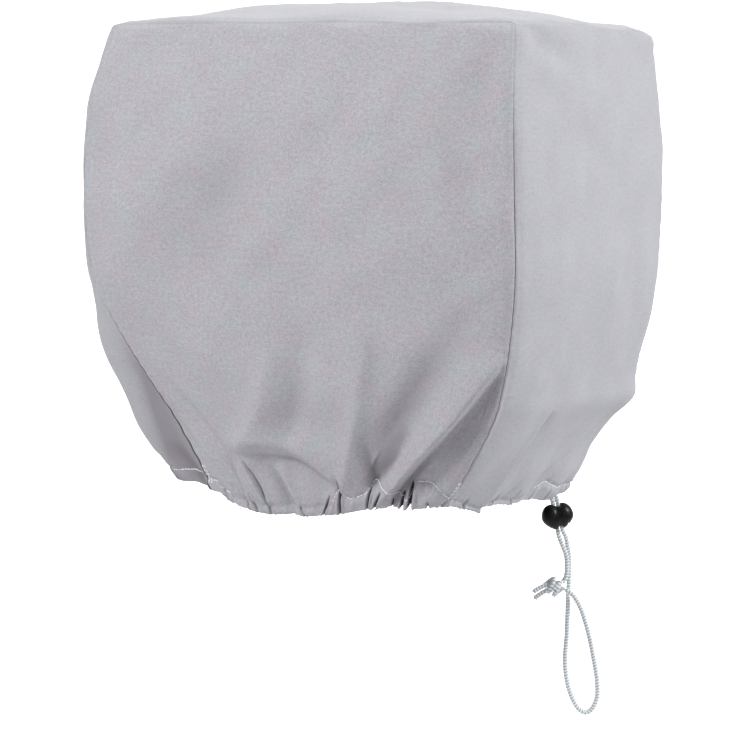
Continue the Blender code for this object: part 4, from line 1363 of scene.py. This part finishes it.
def room():
    """A round floor that bends up into a wall."""
    shape = bmesh.new()
    bends = [
        (ROOM_RADIUS - ROOM_BEND + ROOM_BEND * math.sin(angle), ROOM_BEND * (1 - math.cos(angle)))
        for angle in np.linspace(0.0, math.pi / 2, ROOM_BEND_STEPS)
    ]
    profile = [(0.0, 0.0)] + bends + [(ROOM_RADIUS, ROOM_HEIGHT)]
    points = [shape.verts.new((out, 0.0, FLOOR_LEVEL + up)) for out, up in profile]
    edges = [shape.edges.new(pair) for pair in zip(points[:-1], points[1:])]
    bmesh.ops.spin(
        shape, geom=points + edges, axis=(0, 0, 1), cent=(0, 0, 0), angle=2 * math.pi,
        steps=ROOM_STEPS, use_merge=True,
    )
    bmesh.ops.remove_doubles(shape, verts=shape.verts, dist=1e-5)
    bmesh.ops.recalc_face_normals(shape, faces=shape.faces)
    mesh = mesh_from("floor", shape)
    mesh.shade_smooth()
    mesh.materials.append(floor_finish())
    put("floor", mesh)


def lights():
    world = bpy.data.worlds.new("room_light")
    world.use_nodes = True
    background = world.node_tree.nodes["Background"].inputs
    background["Color"].default_value = (1.0, 1.0, 1.0, 1.0)
    background["Strength"].default_value = WORLD_LIGHT
    bpy.context.scene.world = world
    for lamp in LAMPS:
        light = bpy.data.lights.new(lamp.name, "AREA")
        light.shape = "SQUARE"
        light.size = lamp.size
        light.energy = lamp.power
        made = put(lamp.name, light)
        made.location = lamp.place
        made.rotation_euler = (Vector(lamp.aim) - Vector(lamp.place)).to_track_quat("-Z", "Y").to_euler()
    bpy.context.scene.view_settings.view_transform = "Standard"


# ---------------------------------------------------------------- making it all


def main():
    camera()
    cloth = cloth_finish("panel_cloth_weave", 0.5, 1.7, 2.3)
    strip_cloth = cloth_finish("strip_cloth_weave", 0.6, 0.3, 1.4)
    cord, plastic = cord_finish(), lock_finish()

    knot, body, button = [
        add_piece(name, make(name), finish, rides_on, slot, node)
        for name, make, finish, rides_on, slot, node in (
            ("cord_end_knot", cord_knot, cord, "cover", "draw_cord", "cord_knot"),
            ("ball_lock_body", lock_body, plastic, "cover", "lock_plastic", "lock_body"),
            ("ball_lock_button", lock_button, plastic, "button", "lock_plastic", "lock_button"),
        )
    ]
    for name, route, side, node in (
        ("draw_cord_short", SHORT_ROUTE, -1, "drawcord_short"),
        ("draw_cord_long", LONG_ROUTE, 1, "drawcord_long"),
    ):
        mesh, points = strand(name, route, side)
        piece = add_piece(name, mesh, cord, "cover", "draw_cord", node)

    def add_cloth(name, mesh, finish, *nodes):
        return add_piece(name, mesh, finish, "cover", "cover_cloth", *nodes)

    mesh = side_panel("port_panel", "port", *PORT_SPACINGS)
    port = add_cloth("port_panel", mesh, cloth, "side_panel_port")
    mesh = side_panel("starboard_panel", "starboard", *STARBOARD_SPACINGS)
    starboard = add_cloth("starboard_panel", mesh, cloth, "side_panel_starboard")
    mesh = centre_strip("front_top_rear_strip")
    strip = add_cloth("front_top_rear_strip", mesh, strip_cloth, "centre_strip")
    mesh = stitching("hem_and_seam_stitching")
    thread = add_cloth("hem_and_seam_stitching", mesh, thread_finish())

    room()
    lights()


main()
